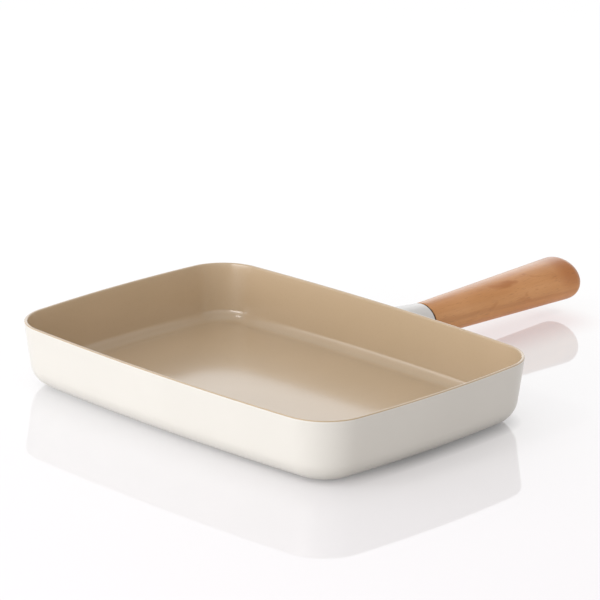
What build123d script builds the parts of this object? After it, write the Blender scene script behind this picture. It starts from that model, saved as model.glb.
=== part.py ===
"""Rectangular omelette pan with a fixed wooden handle.

X runs along the long side of the pan, +Y points to the handle and Z is up.
The origin is the middle of the base, and z = 0 is the hob. All lengths are in millimetres.
"""

import os
from math import cos, hypot, radians, sin, sqrt, tan

from build123d import *

os.makedirs("parts", exist_ok=True)

# Pan outline, over the coats at the rim
pan_length = 280.0
pan_width = 193.5
pan_height = 41.6
side_bow = 5.3
corner_radius = 30.4
draft_angle = 7.7
base_radius = 15.5
floor_radius = 8.0

# Walls and coats
wall_thickness = 1.6
base_thickness = 4.2
lacquer_thickness = 0.2
lining_thickness = 0.3
lining_lip = 1.3
rim_round_share = 0.43

# Machined land under the base and the perforated plate pressed into it
land_height = 0.6
land_margin = 1.5
plate_margin = 6.0
plate_thickness = 0.8
plate_corner_radius = 14.0
plate_hole_diameter = 5.0
plate_hole_pitch = 12.5
pressed_gap = 0.05

# Collar between the wall and the wood
handle_height = 22.0
ferrule_length = 38.3
ferrule_root_width = 35.0
ferrule_root_height = 29.0
ferrule_wall = 2.2
ferrule_rounding = 0.9
seal_thickness = 1.0
seal_inset = 0.5

# Wooden handle
grip_length = 136.3
grip_start_width = 24.7
grip_start_height = 22.1
grip_end_width = 37.2
grip_end_height = 27.6
tip_depth = 10.5
shoulder_rounding = 0.6
tenon_length = 14.0
tenon_gap = 0.2
tip_angles = (0.0, 12.0, 24.0, 36.0, 48.0, 58.0, 67.0, 75.0, 82.0, 87.0)

# Bracket with its tang, on two welded studs
stud_diameter = 4.0
stud_spacing = 13.0
stud_end = 1.4
bracket_width = 21.0
bracket_height = 21.0
bracket_thickness = 2.5
bracket_corner_radius = 5.0
bracket_hole_diameter = 4.5
tang_length = 106.0
tang_width = 14.0
tang_thickness = 2.5
tang_corner_radius = 3.5
tang_gap = 0.25
nut_flats = 7.0
nut_thickness = 3.2
nut_chamfer = 0.2
washer_diameter = 7.4
washer_thickness = 1.0
washer_slit = 0.8
thread_gap = 0.05

# Screw that holds the wood to the tang, from below
screw_place = 36.0
screw_diameter = 5.0
screw_hole_gap = 0.25
screw_head_diameter = 9.2
screw_head_height = 3.2
screw_head_rounding = 1.2
screw_end = 1.0
recess_width = 1.3
recess_length = 5.2
recess_depth = 2.0
seat_depth = 5.5
counterbore_gap = 0.3
screw_washer_diameter = 10.4
screw_washer_thickness = 1.0
spring_washer_diameter = 8.6
spring_washer_thickness = 1.2
spring_washer_slit = 1.0
clinch_nut_diameter = 9.0
clinch_nut_height = 4.0
clinch_nut_chamfer = 0.5

# How far every cut runs past the face that it opens
overrun = 2.0

# Values that follow from the sizes above
half_length = pan_length / 2
half_width = pan_width / 2
corner_x = half_length - side_bow
corner_y = half_width - side_bow
long_arc_radius = (corner_x**2 + side_bow**2) / (2 * side_bow)
short_arc_radius = (corner_y**2 + side_bow**2) / (2 * side_bow)
draft = radians(draft_angle)
draft_slope = tan(draft)
flat_share = cos(draft)

lacquer_inset = lacquer_thickness / flat_share
metal_inner_inset = (lacquer_thickness + wall_thickness) / flat_share
lining_inset = (lacquer_thickness + wall_thickness + lining_thickness) / flat_share
middle_inset = (lacquer_thickness + wall_thickness / 2) / flat_share

shell_bottom = land_height + lacquer_thickness
metal_floor = shell_bottom + base_thickness
lining_floor = metal_floor + lining_thickness
shell_middle = (shell_bottom + metal_floor) / 2
metal_top = pan_height - lining_thickness
metal_base_radius = base_radius - lacquer_thickness
metal_floor_radius = floor_radius + lining_thickness
middle_radius = (metal_base_radius + metal_floor_radius) / 2
rim_rounding = rim_round_share * (lacquer_thickness + wall_thickness + lining_thickness)
metal_rim_rounding = rim_round_share * wall_thickness

land_inset = (
    (pan_height - land_height) * draft_slope
    + base_radius * tan((radians(90) - draft) / 2)
    + land_margin
)
plate_length = pan_length - 2 * (land_inset + side_bow + plate_margin)
plate_width = pan_width - 2 * (land_inset + side_bow + plate_margin)
plate_columns = 2 * int(plate_length / (2 * plate_hole_pitch))
plate_rows = 2 * int(plate_width / (2 * plate_hole_pitch))

wall_y = half_width - (pan_height - handle_height) * draft_slope
ferrule_end = wall_y + ferrule_length
shoulder_y = ferrule_end + seal_thickness
tang_end = wall_y + tang_length
screw_y = shoulder_y + screw_place


def inset_at(rim_inset, height):
    """Return how far the drafted wall stands inside the rim's outline at a height."""
    return rim_inset + (pan_height - height) * draft_slope


def side_crossing(inset):
    """Return where the arcs of a long and a short side cross, both set in by a distance."""
    x_center = short_arc_radius - half_length
    y_center = long_arc_radius - half_width
    span = hypot(x_center, y_center)
    long_radius = long_arc_radius - inset
    short_radius = short_arc_radius - inset
    along = (long_radius**2 - short_radius**2 + span**2) / (2 * span)
    aside = sqrt(long_radius**2 - along**2)
    x = (y_center * aside - x_center * along) / span
    y = (x_center * aside + y_center * along) / span - y_center
    return x, y


def pan_outline(inset, height):
    """Return the pan's bowed outline, set in by a distance, on a level plane."""
    x, y = side_crossing(inset)
    x_middle = half_length - inset
    y_middle = half_width - inset
    with BuildSketch(Plane.XY.offset(height)) as outline:
        with BuildLine():
            ThreePointArc((-x, -y), (0, -y_middle), (x, -y))
            ThreePointArc((x, -y), (x_middle, 0), (x, y))
            ThreePointArc((x, y), (0, y_middle), (-x, y))
            ThreePointArc((-x, y), (-x_middle, 0), (-x, -y))
        make_face()
        fillet(outline.vertices(), corner_radius - inset)
    return outline.sketch


def tray_form(rim_inset, low, high, edge_radius):
    """Return the filled tray between two heights, with its lower edge rounded."""
    ends = [pan_outline(inset_at(rim_inset, height), height) for height in (low, high)]
    with BuildPart() as form:
        loft(ends, ruled=True)
        fillet(form.faces().sort_by(Axis.Z)[0].edges(), edge_radius)
    return form.part


def cross_plane(y):
    """Return the upright plane across the handle's axis at a place along it."""
    return Plane(origin=(0, y, handle_height), x_dir=(-1, 0, 0), z_dir=(0, 1, 0))


def between(start, end, share):
    """Return the value at a share of the way from start to end."""
    return start + (end - start) * share


def oval(y, width, height):
    """Return an upright oval across the handle's axis."""
    with BuildSketch(cross_plane(y)) as section:
        Ellipse(width / 2, height / 2)
    return section.sketch


def ferrule_section(y, wall):
    """Return the collar's oval at a place along it, inside its wall."""
    share = (y - wall_y) / ferrule_length
    width = between(ferrule_root_width, grip_start_width, share)
    height = between(ferrule_root_height, grip_start_height, share)
    return oval(y, width - 2 * wall, height - 2 * wall)


def grip_section(share, shrink):
    """Return the grip's oval at a share of its straight part, shrunk towards the tip."""
    width = between(grip_start_width, grip_end_width, share)
    height = between(grip_start_height, grip_end_height, share)
    return oval(shoulder_y + straight_length * share, width * shrink, height * shrink)


def split_washer(plane, outer_diameter, bore, thickness, slit):
    """Return a split spring washer, pressed flat, on a plane."""
    with BuildPart() as washer:
        with BuildSketch(plane):
            Circle(outer_diameter / 2)
            Circle(bore / 2, mode=Mode.SUBTRACT)
            with Locations((outer_diameter / 2, 0)):
                Rectangle(outer_diameter, slit, mode=Mode.SUBTRACT)
        extrude(amount=thickness)
    return washer.part


# Filled forms that the pan's pieces are cut from
metal_form = tray_form(lacquer_inset, shell_bottom, metal_top, metal_base_radius)
metal_cavity = tray_form(
    metal_inner_inset, metal_floor, pan_height + overrun, metal_floor_radius
)
lining_cavity = tray_form(lining_inset, lining_floor, pan_height + overrun, floor_radius)
coated_form = tray_form(0, land_height, pan_height, base_radius)
tall_form = tray_form(0, land_height, 2 * pan_height, base_radius)
middle_form = tray_form(middle_inset, shell_middle, pan_height + overrun, middle_radius)

with BuildPart() as envelope:
    add(coated_form)
    add(lining_cavity, mode=Mode.SUBTRACT)
    fillet(envelope.faces().sort_by(Axis.Z)[-1].edges(), rim_rounding)

# Drafted wall where the handle stands: studs and bracket are square to it
wall_plane = Plane(
    origin=(0, wall_y, handle_height), x_dir=(-1, 0, 0), z_dir=(0, cos(draft), -sin(draft))
)
stud_places = [(0, stud_spacing / 2), (0, -stud_spacing / 2)]

# Pressed tray with its land, before the base plate goes in
with BuildPart() as pan_blank:
    add(metal_form)
    add(metal_cavity, mode=Mode.SUBTRACT)
    fillet(pan_blank.faces().sort_by(Axis.Z)[-1].edges(), metal_rim_rounding)
    extrude(pan_outline(land_inset, 0), amount=shell_middle)

# Pan body, with the pocket and the pegs that the plate is pressed on
with BuildPart() as pan_body:
    add(pan_blank.part)
    with BuildSketch():
        RectangleRounded(
            plate_length + 2 * pressed_gap, plate_width + 2 * pressed_gap, plate_corner_radius
        )
        with GridLocations(plate_hole_pitch, plate_hole_pitch, plate_columns, plate_rows):
            Circle(plate_hole_diameter / 2 - pressed_gap, mode=Mode.SUBTRACT)
    extrude(amount=plate_thickness, mode=Mode.SUBTRACT)
pan_body.part.label = "pan_body"

# Perforated base plate, flush with the land
with BuildPart() as base_plate:
    with BuildSketch():
        RectangleRounded(plate_length, plate_width, plate_corner_radius)
        with GridLocations(plate_hole_pitch, plate_hole_pitch, plate_columns, plate_rows):
            Circle(plate_hole_diameter / 2, mode=Mode.SUBTRACT)
    extrude(amount=plate_thickness)
base_plate.part.label = "base_plate"

# Both coats in one, between the coated and the bare tray
with BuildPart() as coats:
    add(envelope.part)
    add(pan_blank.part, mode=Mode.SUBTRACT)

# Everything outside the middle of the wall and below the lining's lip
with BuildPart() as outer_zone:
    with BuildSketch(Plane.XY.offset(-overrun)):
        Rectangle(pan_length + 2 * overrun, pan_width + 2 * overrun)
    extrude(amount=pan_height - lining_lip + overrun)
    add(middle_form, mode=Mode.SUBTRACT)

# Outer lacquer, open where the land comes through and where the studs are welded
with BuildPart() as outer_lacquer:
    add(coats.part)
    add(outer_zone.part, mode=Mode.INTERSECT)
    with BuildSketch(wall_plane.offset(-lacquer_thickness)):
        with Locations(*stud_places):
            Circle(stud_diameter / 2 + thread_gap)
    extrude(amount=overrun, mode=Mode.SUBTRACT)
outer_lacquer.part.label = "outer_lacquer"

# Inner lining, which wraps over the rim
with BuildPart() as inner_lining:
    add(coats.part)
    add(outer_zone.part, mode=Mode.SUBTRACT)
inner_lining.part.label = "inner_lining"

# Studs
nut_face = bracket_thickness + washer_thickness + nut_thickness
with BuildPart() as weld_studs:
    with BuildSketch(wall_plane.offset(-lacquer_thickness)):
        with Locations(*stud_places):
            Circle(stud_diameter / 2)
    extrude(amount=lacquer_thickness + nut_face + stud_end)
weld_studs.part.label = "weld_studs"

# Bracket and tang
with BuildPart() as handle_bracket:
    with BuildSketch(wall_plane):
        RectangleRounded(bracket_width, bracket_height, bracket_corner_radius)
    extrude(amount=bracket_thickness)
    with BuildSketch(cross_plane(wall_y + bracket_thickness / 2)):
        Rectangle(tang_width, tang_thickness)
    extrude(amount=tang_length - bracket_thickness / 2)
    with BuildSketch(wall_plane.offset(-overrun)):
        with Locations(*stud_places):
            Circle(bracket_hole_diameter / 2)
    extrude(amount=bracket_thickness + 2 * overrun, mode=Mode.SUBTRACT)
    with BuildSketch(Plane.XY.offset(handle_height - overrun - tang_thickness / 2)):
        with Locations((0, screw_y)):
            Circle(screw_diameter / 2 + screw_hole_gap)
    extrude(amount=tang_thickness + 2 * overrun, mode=Mode.SUBTRACT)
    tang_corners = handle_bracket.edges().filter_by(Axis.Z).sort_by(Axis.Y)[-2:]
    fillet(tang_corners, tang_corner_radius)
handle_bracket.part.label = "handle_bracket"

# Split washers on the studs
washer_plane = wall_plane.offset(bracket_thickness)
washer_bore = stud_diameter + 2 * thread_gap
stud_washer = split_washer(washer_plane, washer_diameter, washer_bore, washer_thickness, washer_slit)
with BuildPart() as stud_washers:
    for x, y in stud_places:
        add(stud_washer.moved(Location(wall_plane.x_dir * x + wall_plane.y_dir * y)))
stud_washers.part.label = "stud_washers"

# Nuts on the studs
with BuildPart() as stud_nuts:
    with BuildSketch(wall_plane.offset(bracket_thickness + washer_thickness)):
        with Locations(*stud_places):
            RegularPolygon(nut_flats / 2, 6, major_radius=False, rotation=30)
            Circle(stud_diameter / 2 + thread_gap, mode=Mode.SUBTRACT)
    extrude(amount=nut_thickness)
    chamfer(stud_nuts.edges().filter_by(GeomType.CIRCLE), nut_chamfer)
stud_nuts.part.label = "stud_nuts"

# Collar: an open tube that starts inside the wall and is scribed to it
ferrule_start = wall_y - ferrule_root_height / 2
with BuildPart() as handle_ferrule:
    loft([ferrule_section(ferrule_start, 0), ferrule_section(ferrule_end, 0)], ruled=True)
    fillet(handle_ferrule.faces().sort_by(Axis.Y)[-1].edges(), ferrule_rounding)
    bore_ends = (ferrule_start - overrun, ferrule_end + overrun)
    loft([ferrule_section(y, ferrule_wall) for y in bore_ends], ruled=True, mode=Mode.SUBTRACT)
    add(tall_form, mode=Mode.SUBTRACT)
handle_ferrule.part.label = "handle_ferrule"

# Tenon's half sizes, which the seal goes round and the collar's mouth takes
tenon_x = grip_start_width / 2 - ferrule_wall - tenon_gap
tenon_z = grip_start_height / 2 - ferrule_wall - tenon_gap

# Seal between the collar and the wood
with BuildPart() as seal_ring:
    with BuildSketch(cross_plane(ferrule_end)):
        Ellipse(grip_start_width / 2 - seal_inset, grip_start_height / 2 - seal_inset)
        Ellipse(tenon_x + pressed_gap, tenon_z + pressed_gap, mode=Mode.SUBTRACT)
    extrude(amount=seal_thickness)
seal_ring.part.label = "seal_ring"

# Heights of the screw's stack, worked out from the grip's underside above the screw
straight_length = grip_length - tip_depth
screw_share = screw_place / straight_length
grip_underside = handle_height - between(grip_start_height, grip_end_height, screw_share) / 2
seat_z = grip_underside + seat_depth
tang_bottom = handle_height - tang_thickness / 2
tang_top = handle_height + tang_thickness / 2
clinch_top = tang_top + clinch_nut_height
groove_start = shoulder_y - tenon_length - overrun
groove_top = clinch_top + screw_end + tang_gap

# Ovals that close the grip's straight part to its round tip
tip_sections = []
for angle in tip_angles:
    tip_reach = tip_depth * sin(radians(angle))
    tip_sections.append(grip_section(1 + tip_reach / straight_length, cos(radians(angle))))

# Wooden handle, bored for its tang, nut and screw
with BuildPart() as wooden_handle:
    loft([grip_section(0, 1), grip_section(1, 1)], ruled=True)
    loft(tip_sections)
    fillet(wooden_handle.faces().sort_by(Axis.Y)[0].edges(), shoulder_rounding)
    with BuildSketch(cross_plane(shoulder_y - tenon_length)):
        Ellipse(tenon_x, tenon_z)
    extrude(amount=tenon_length + overrun)
    with BuildSketch(cross_plane(groove_start)):
        Rectangle(tang_width + 2 * tang_gap, tang_thickness + 2 * tang_gap)
    extrude(amount=tang_end + tang_gap - groove_start, mode=Mode.SUBTRACT)
    with BuildSketch(Plane.XY.offset(handle_height)):
        with Locations((0, (groove_start + screw_y) / 2)):
            Rectangle(clinch_nut_diameter + 2 * tang_gap, screw_y - groove_start)
        with Locations((0, screw_y)):
            Circle(clinch_nut_diameter / 2 + tang_gap)
    extrude(amount=groove_top - handle_height, mode=Mode.SUBTRACT)
    with BuildSketch(Plane.XY):
        with Locations((0, screw_y)):
            Circle(screw_diameter / 2 + screw_hole_gap)
    extrude(amount=handle_height, mode=Mode.SUBTRACT)
    with BuildSketch(Plane.XY):
        with Locations((0, screw_y)):
            Circle(screw_washer_diameter / 2 + counterbore_gap)
    extrude(amount=seat_z, mode=Mode.SUBTRACT)
wooden_handle.part.label = "wooden_handle"

# Clinch nut on the tang
with BuildPart() as clinch_nut:
    with BuildSketch(Plane.XY.offset(tang_top)):
        with Locations((0, screw_y)):
            Circle(clinch_nut_diameter / 2)
            Circle(screw_diameter / 2 + thread_gap, mode=Mode.SUBTRACT)
    extrude(amount=clinch_nut_height)
    top_edges = clinch_nut.faces().sort_by(Axis.Z)[-1].edges()
    chamfer(top_edges.sort_by(SortBy.RADIUS)[-1], clinch_nut_chamfer)
clinch_nut.part.label = "clinch_nut"

# Flat washer in the counterbore
washer_bottom = seat_z - screw_washer_thickness
with BuildPart() as screw_washer:
    with BuildSketch(Plane.XY.offset(washer_bottom)):
        with Locations((0, screw_y)):
            Circle(screw_washer_diameter / 2)
            Circle(screw_diameter / 2 + screw_hole_gap, mode=Mode.SUBTRACT)
    extrude(amount=screw_washer_thickness)
screw_washer.part.label = "screw_washer"

# Split washer under the screw's head
head_top = washer_bottom - spring_washer_thickness
spring_washer = split_washer(
    Plane((0, screw_y, head_top)),
    spring_washer_diameter,
    screw_diameter + 2 * thread_gap,
    spring_washer_thickness,
    spring_washer_slit,
)
with BuildPart() as screw_spring_washer:
    add(spring_washer)
screw_spring_washer.part.label = "screw_spring_washer"

# Screw with a cross recess
head_bottom = head_top - screw_head_height
with BuildPart() as handle_screw:
    with BuildSketch(Plane.XY.offset(head_bottom)):
        with Locations((0, screw_y)):
            Circle(screw_head_diameter / 2)
    extrude(amount=screw_head_height)
    fillet(handle_screw.faces().sort_by(Axis.Z)[0].edges(), screw_head_rounding)
    with BuildSketch(Plane.XY.offset(head_top)):
        with Locations((0, screw_y)):
            Circle(screw_diameter / 2)
    extrude(amount=clinch_top + screw_end - head_top)
    with BuildSketch(Plane.XY.offset(head_bottom)):
        with Locations((0, screw_y)):
            Rectangle(recess_length, recess_width)
            Rectangle(recess_width, recess_length)
    extrude(amount=recess_depth, mode=Mode.SUBTRACT)
handle_screw.part.label = "handle_screw"

pieces = [
    pan_body,
    inner_lining,
    outer_lacquer,
    base_plate,
    weld_studs,
    handle_bracket,
    stud_washers,
    stud_nuts,
    handle_ferrule,
    seal_ring,
    wooden_handle,
    clinch_nut,
    screw_washer,
    screw_spring_washer,
    handle_screw,
]
for piece in pieces:
    export_step(piece.part, f"parts/{piece.part.label}.step")
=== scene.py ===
"""Studio scene of a rectangular omelette pan with a wooden handle.

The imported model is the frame, and this script gives it its looks. All lengths are in metres.
X runs along the long side of the pan, +Y points to the handle, and z = 0 is the table.
"""

import logging
from dataclasses import dataclass
from enum import Enum
from math import asin, cos, hypot, pi, radians, sin, sqrt, tan

import bmesh
import bpy
from mathutils import Matrix, Vector


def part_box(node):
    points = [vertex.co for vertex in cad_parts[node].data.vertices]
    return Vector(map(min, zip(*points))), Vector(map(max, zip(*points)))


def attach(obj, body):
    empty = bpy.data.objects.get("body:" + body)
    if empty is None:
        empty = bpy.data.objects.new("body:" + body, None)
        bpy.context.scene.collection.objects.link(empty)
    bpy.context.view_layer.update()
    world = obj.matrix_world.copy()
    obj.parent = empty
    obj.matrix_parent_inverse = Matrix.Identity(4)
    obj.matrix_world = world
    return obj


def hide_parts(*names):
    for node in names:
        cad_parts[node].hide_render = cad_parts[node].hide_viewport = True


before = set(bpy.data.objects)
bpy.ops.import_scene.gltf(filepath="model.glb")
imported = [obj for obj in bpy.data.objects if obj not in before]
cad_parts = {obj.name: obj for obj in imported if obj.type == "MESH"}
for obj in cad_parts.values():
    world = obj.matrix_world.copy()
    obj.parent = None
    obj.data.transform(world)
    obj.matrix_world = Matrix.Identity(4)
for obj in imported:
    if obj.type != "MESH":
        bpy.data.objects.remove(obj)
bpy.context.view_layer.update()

MM = 0.001
BODY = "root"
CLOSE_POINTS = 0.001 * MM
CREASE_ANGLE = radians(35)
RIGHT_ANGLE = pi / 2
CLOUD_SPAN = (0.3, 0.7)
WHITE = (1.0, 1.0, 1.0, 1)
BLACK = (0.0, 0.0, 0.0, 1)

log = logging.getLogger("pan")


class Slot(Enum):
    """Material slots of the record, for the pieces that are made here."""

    LINING = "ceramic_lining"
    LACQUER = "white_lacquer"
    PLATE = "plate_steel"
    COLLAR = "ferrule_lacquer"
    SEAL = "seal_silicone"
    WOOD = "handle_wood"


class Metal(Enum):
    """Bare metals of the pan, each with the name of its material."""

    ALUMINIUM = "milled_aluminium"
    PLATE = "ground_plate"
    STUD = "bare_stud"
    BRACKET = "pickled_steel"
    FASTENER = "plated_steel"


class Kind(Enum):
    """Kinds of sockets on the node groups."""

    NUMBER = "NodeSocketFloat"
    COUNT = "NodeSocketInt"
    COLOUR = "NodeSocketColor"
    VECTOR = "NodeSocketVector"
    GEOMETRY = "NodeSocketGeometry"
    OBJECT = "NodeSocketObject"
    MATERIAL = "NodeSocketMaterial"


class Lines(Enum):
    """Ways in which fine lines run over a surface, as a stretch of its coordinates."""

    ALONG_X = (0.03, 1.0, 1.0)
    ALONG_Y = (1.0, 0.03, 1.0)
    ALL_WAYS = (1.0, 1.0, 1.0)


Colour = tuple[float, float, float, float]
Point = tuple[float, float]
Direction = tuple[float, float, float]
# From the first to the second of its values, a share goes from the third to the fourth.
Fade = tuple[float, float, float, float]
Inputs = dict[str | int, object]
Socket = bpy.types.NodeSocket


class NodeCanvas:
    """Adds nodes to one tree and links them."""

    def __init__(self, tree: bpy.types.NodeTree) -> None:
        """Take the tree that gets the nodes."""
        self.tree = tree

    def feed(self, socket: Socket, value: object) -> None:
        """Link a socket to another one, or set its value.

        Args:
            socket: Input socket to feed.
            value: Output socket to link, or the plain value to set.
        """
        if isinstance(value, bpy.types.NodeSocket):
            self.tree.links.new(value, socket)
        else:
            socket.default_value = value

    def add(self, kind: str, inputs: Inputs | None = None, **settings: object) -> bpy.types.Node:
        """Add a node.

        Args:
            kind: Blender's name of the node type.
            inputs: Values or sockets for its inputs, by name or by number.
            **settings: Properties of the node itself.

        Returns:
            The new node.
        """
        node = self.tree.nodes.new(kind)
        for name, value in settings.items():
            setattr(node, name, value)
        for name, value in (inputs or {}).items():
            self.feed(node.inputs[name], value)
        return node

    def math(self, operation: str, first: object, second: object = 0.0) -> Socket:
        """Combine two numbers by an operation."""
        return self.add("ShaderNodeMath", {0: first, 1: second}, operation=operation).outputs[0]

    def times(self, first: object, second: object) -> Socket:
        """Multiply two numbers."""
        return self.math("MULTIPLY", first, second)

    def vector_math(self, operation: str, first: object, second: object) -> Socket:
        """Combine two vectors by an operation, into a vector or a plain value."""
        node = self.add("ShaderNodeVectorMath", {0: first, 1: second}, operation=operation)
        return node.outputs["Value" if operation == "DOT_PRODUCT" else "Vector"]

    def stretch(self, vector: object, factors: object) -> Socket:
        """Multiply a vector by another one, axis by axis."""
        return self.vector_math("MULTIPLY", vector, factors)

    def reach(self, vector: object, direction: object) -> Socket:
        """Return how far a vector reaches along a unit direction."""
        return self.vector_math("DOT_PRODUCT", vector, direction)

    def axes(self, vector: object) -> bpy.types.bpy_prop_collection:
        """Return the X, Y and Z of a vector, by name."""
        return self.add("ShaderNodeSeparateXYZ", {"Vector": vector}).outputs

    def noise(
        self, vector: object, scale: object, detail: float = 3.0, roughness: float = 0.5
    ) -> Socket:
        """Return a noise from 0 to 1, with scale as its number of features in a metre."""
        inputs = {"Vector": vector, "Scale": scale, "Detail": detail, "Roughness": roughness}
        return self.add("ShaderNodeTexNoise", inputs).outputs[0]

    def ramp(
        self, value: object, low: float, high: float, start: object = 0.0, end: object = 1.0
    ) -> Socket:
        """Map the range from low to high smoothly to the one from start to end."""
        inputs = {"Value": value, "From Min": low, "From Max": high, "To Min": start, "To Max": end}
        return self.add("ShaderNodeMapRange", inputs, interpolation_type="SMOOTHSTEP").outputs[0]

    def mix(self, factor: object, first: object, second: object, blend: str = "MIX") -> Socket:
        """Mix two colours.

        Args:
            factor: Share of the second colour.
            first: First colour or socket.
            second: Second colour or socket.
            blend: Name of the way to mix.

        Returns:
            The socket with the colour.
        """
        node = self.add("ShaderNodeMix", data_type="RGBA", blend_type=blend)
        colours = [socket for socket in node.inputs if socket.type == "RGBA"]
        for socket, value in zip((node.inputs["Factor"], *colours), (factor, first, second)):
            self.feed(socket, value)
        return next(socket for socket in node.outputs if socket.type == "RGBA")

    def bump(self, height: object, depth: float) -> Socket:
        """Turn a height from 0 to 1 into a normal, with the depth of 1 in metres."""
        inputs = {"Height": height, "Distance": depth, "Strength": 1.0}
        return self.add("ShaderNodeBump", inputs).outputs[0]


class GroupCanvas(NodeCanvas):
    """A node group with named inputs and outputs, and the canvas to draw it on."""

    def __init__(
        self, name: str, tree_type: str, takes: dict[str, Kind], gives: dict[str, Kind]
    ) -> None:
        """Make the group and its sockets.

        Args:
            name: Name of the group.
            tree_type: Blender's name of the tree type.
            takes: Inputs of the group, in order.
            gives: Outputs of the group, in order.
        """
        super().__init__(bpy.data.node_groups.new(name, tree_type))
        for way, sockets in (("INPUT", takes), ("OUTPUT", gives)):
            for socket, kind in sockets.items():
                self.tree.interface.new_socket(socket, in_out=way, socket_type=kind.value)
        self.takes = self.add("NodeGroupInput").outputs
        self.gives = self.add("NodeGroupOutput").inputs


class MaterialCanvas(NodeCanvas):
    """A new material, its main shader and the canvas to draw its nodes on."""

    def __init__(self, name: str, **settings: object) -> None:
        """Make the material.

        Args:
            name: Name of the material.
            **settings: Values of the shader's own sockets, with _ for each space.
        """
        self.material = bpy.data.materials.new(name)
        self.material.use_nodes = True
        super().__init__(self.material.node_tree)
        self.shader = self.tree.nodes["Principled BSDF"]
        for socket, value in settings.items():
            self.shader.inputs[socket.replace("_", " ")].default_value = value
        self.place = self.add("ShaderNodeTexCoord").outputs["Object"]

    def effect(self, group: bpy.types.NodeTree, inputs: Inputs) -> Socket:
        """Place a shared effect on the surface, with its values by name."""
        inputs = {"Vector": self.place, **inputs}
        return self.add("ShaderNodeGroup", inputs, node_tree=group).outputs[0]

    def paint(self, socket: str, value: object) -> None:
        """Feed one socket of the main shader, by its name."""
        self.feed(self.shader.inputs[socket], value)


def effect_group(name: str, output: str, kind: Kind, **takes: Kind) -> GroupCanvas:
    """Make the group of a shared effect, which reads a vector.

    Args:
        name: Name of the group.
        output: Name of its output.
        kind: Kind of that output.
        **takes: Its inputs besides the vector, with _ for each space.

    Returns:
        The group's canvas.
    """
    sockets = {socket.replace("_", " "): taken for socket, taken in takes.items()}
    sockets = {"Vector": Kind.VECTOR, **sockets}
    return GroupCanvas(name, "ShaderNodeTree", sockets, {output: kind})


class Effects:
    """Shader node groups that several finishes share, each built once."""

    PEEL_FACTOR = 3.7
    PEEL_SHARE = 0.22
    LINE_SPAN = (0.25, 0.75)
    SPECK_EDGE = (0.5, 1.0)
    SPECK_CHANCE = (0.55, 0.75)

    def __init__(self) -> None:
        """Build the groups."""
        self.drift = self.colour_drift()
        self.peel = self.orange_peel()
        self.marks = self.handling_marks()
        self.lines = self.fine_lines()
        self.specks = self.fine_specks()

    def colour_drift(self) -> bpy.types.NodeTree:
        """Return a group that lets a colour drift slowly towards a second one."""
        takes = {"Colour": Kind.COLOUR, "Second_Colour": Kind.COLOUR, "Scale": Kind.NUMBER}
        group = effect_group("Colour Drift", "Colour", Kind.COLOUR, **takes)
        cloud = group.noise(group.takes["Vector"], group.takes["Scale"])
        share = group.ramp(cloud, *CLOUD_SPAN)
        colour = group.mix(share, group.takes["Colour"], group.takes["Second Colour"])
        group.feed(group.gives["Colour"], colour)
        return group.tree

    def orange_peel(self) -> bpy.types.NodeTree:
        """Return a group with the soft unevenness of a sprayed and baked coat."""
        group = effect_group("Orange Peel", "Height", Kind.NUMBER, Scale=Kind.NUMBER)
        broad = group.noise(group.takes["Vector"], group.takes["Scale"], detail=1.0)
        fine_scale = group.times(group.takes["Scale"], self.PEEL_FACTOR)
        fine = group.noise(group.takes["Vector"], fine_scale, detail=1.0)
        height = group.math("ADD", broad, group.times(fine, self.PEEL_SHARE))
        group.feed(group.gives["Height"], height)
        return group.tree

    def handling_marks(self) -> bpy.types.NodeTree:
        """Return a group that lets the roughness vary, as wiping and handling leave it."""
        takes = dict.fromkeys(("Scale", "Roughness", "Spread"), Kind.NUMBER)
        group = effect_group("Handling Marks", "Roughness", Kind.NUMBER, **takes)
        cloud = group.noise(group.takes["Vector"], group.takes["Scale"], detail=5.0, roughness=0.6)
        swing = group.ramp(cloud, *CLOUD_SPAN, -1.0, 1.0)
        offset = group.times(swing, group.takes["Spread"])
        group.feed(group.gives["Roughness"], group.math("ADD", group.takes["Roughness"], offset))
        return group.tree

    def fine_lines(self) -> bpy.types.NodeTree:
        """Return a group with fine lines, as grinding, brushing or growth leave them."""
        takes = {"Stretch": Kind.VECTOR, "Scale": Kind.NUMBER}
        group = effect_group("Fine Lines", "Height", Kind.NUMBER, **takes)
        along = group.stretch(group.takes["Vector"], group.takes["Stretch"])
        lines = group.noise(along, group.takes["Scale"], detail=4.0, roughness=0.65)
        group.feed(group.gives["Height"], group.ramp(lines, *self.LINE_SPAN))
        return group.tree

    def fine_specks(self) -> bpy.types.NodeTree:
        """Return a group with a mask of small separate specks."""
        takes = {"Scale": Kind.NUMBER, "Size": Kind.NUMBER}
        group = effect_group("Fine Specks", "Mask", Kind.NUMBER, **takes)
        inputs = {"Vector": group.takes["Vector"], "Scale": group.takes["Scale"]}
        cells = group.add("ShaderNodeTexVoronoi", inputs)
        distance = group.math("DIVIDE", cells.outputs["Distance"], group.takes["Size"])
        dot = group.ramp(distance, *self.SPECK_EDGE, 1.0, 0.0)
        chance = group.add("ShaderNodeSeparateColor", {"Color": cells.outputs["Color"]})
        chosen = group.ramp(chance.outputs[0], *self.SPECK_CHANCE)
        group.feed(group.gives["Mask"], group.times(dot, chosen))
        return group.tree


@dataclass(frozen=True, kw_only=True)
class Finish:
    """One surface finish, made into a material.

    Attributes:
        name: Name of the material.
        colour: Main colour.
        second_colour: Colour that it drifts towards.
        cloud_scale: Clouds of the second colour in a metre.
        roughness: Roughness in the middle of its spread.
    """

    name: str
    colour: Colour
    second_colour: Colour
    cloud_scale: float
    roughness: float

    def drifting(self, canvas: MaterialCanvas, effects: Effects) -> Socket:
        """Return the main colour drifting towards the second one."""
        inputs = {"Colour": self.colour, "Second Colour": self.second_colour}
        return canvas.effect(effects.drift, {**inputs, "Scale": self.cloud_scale})


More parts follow.
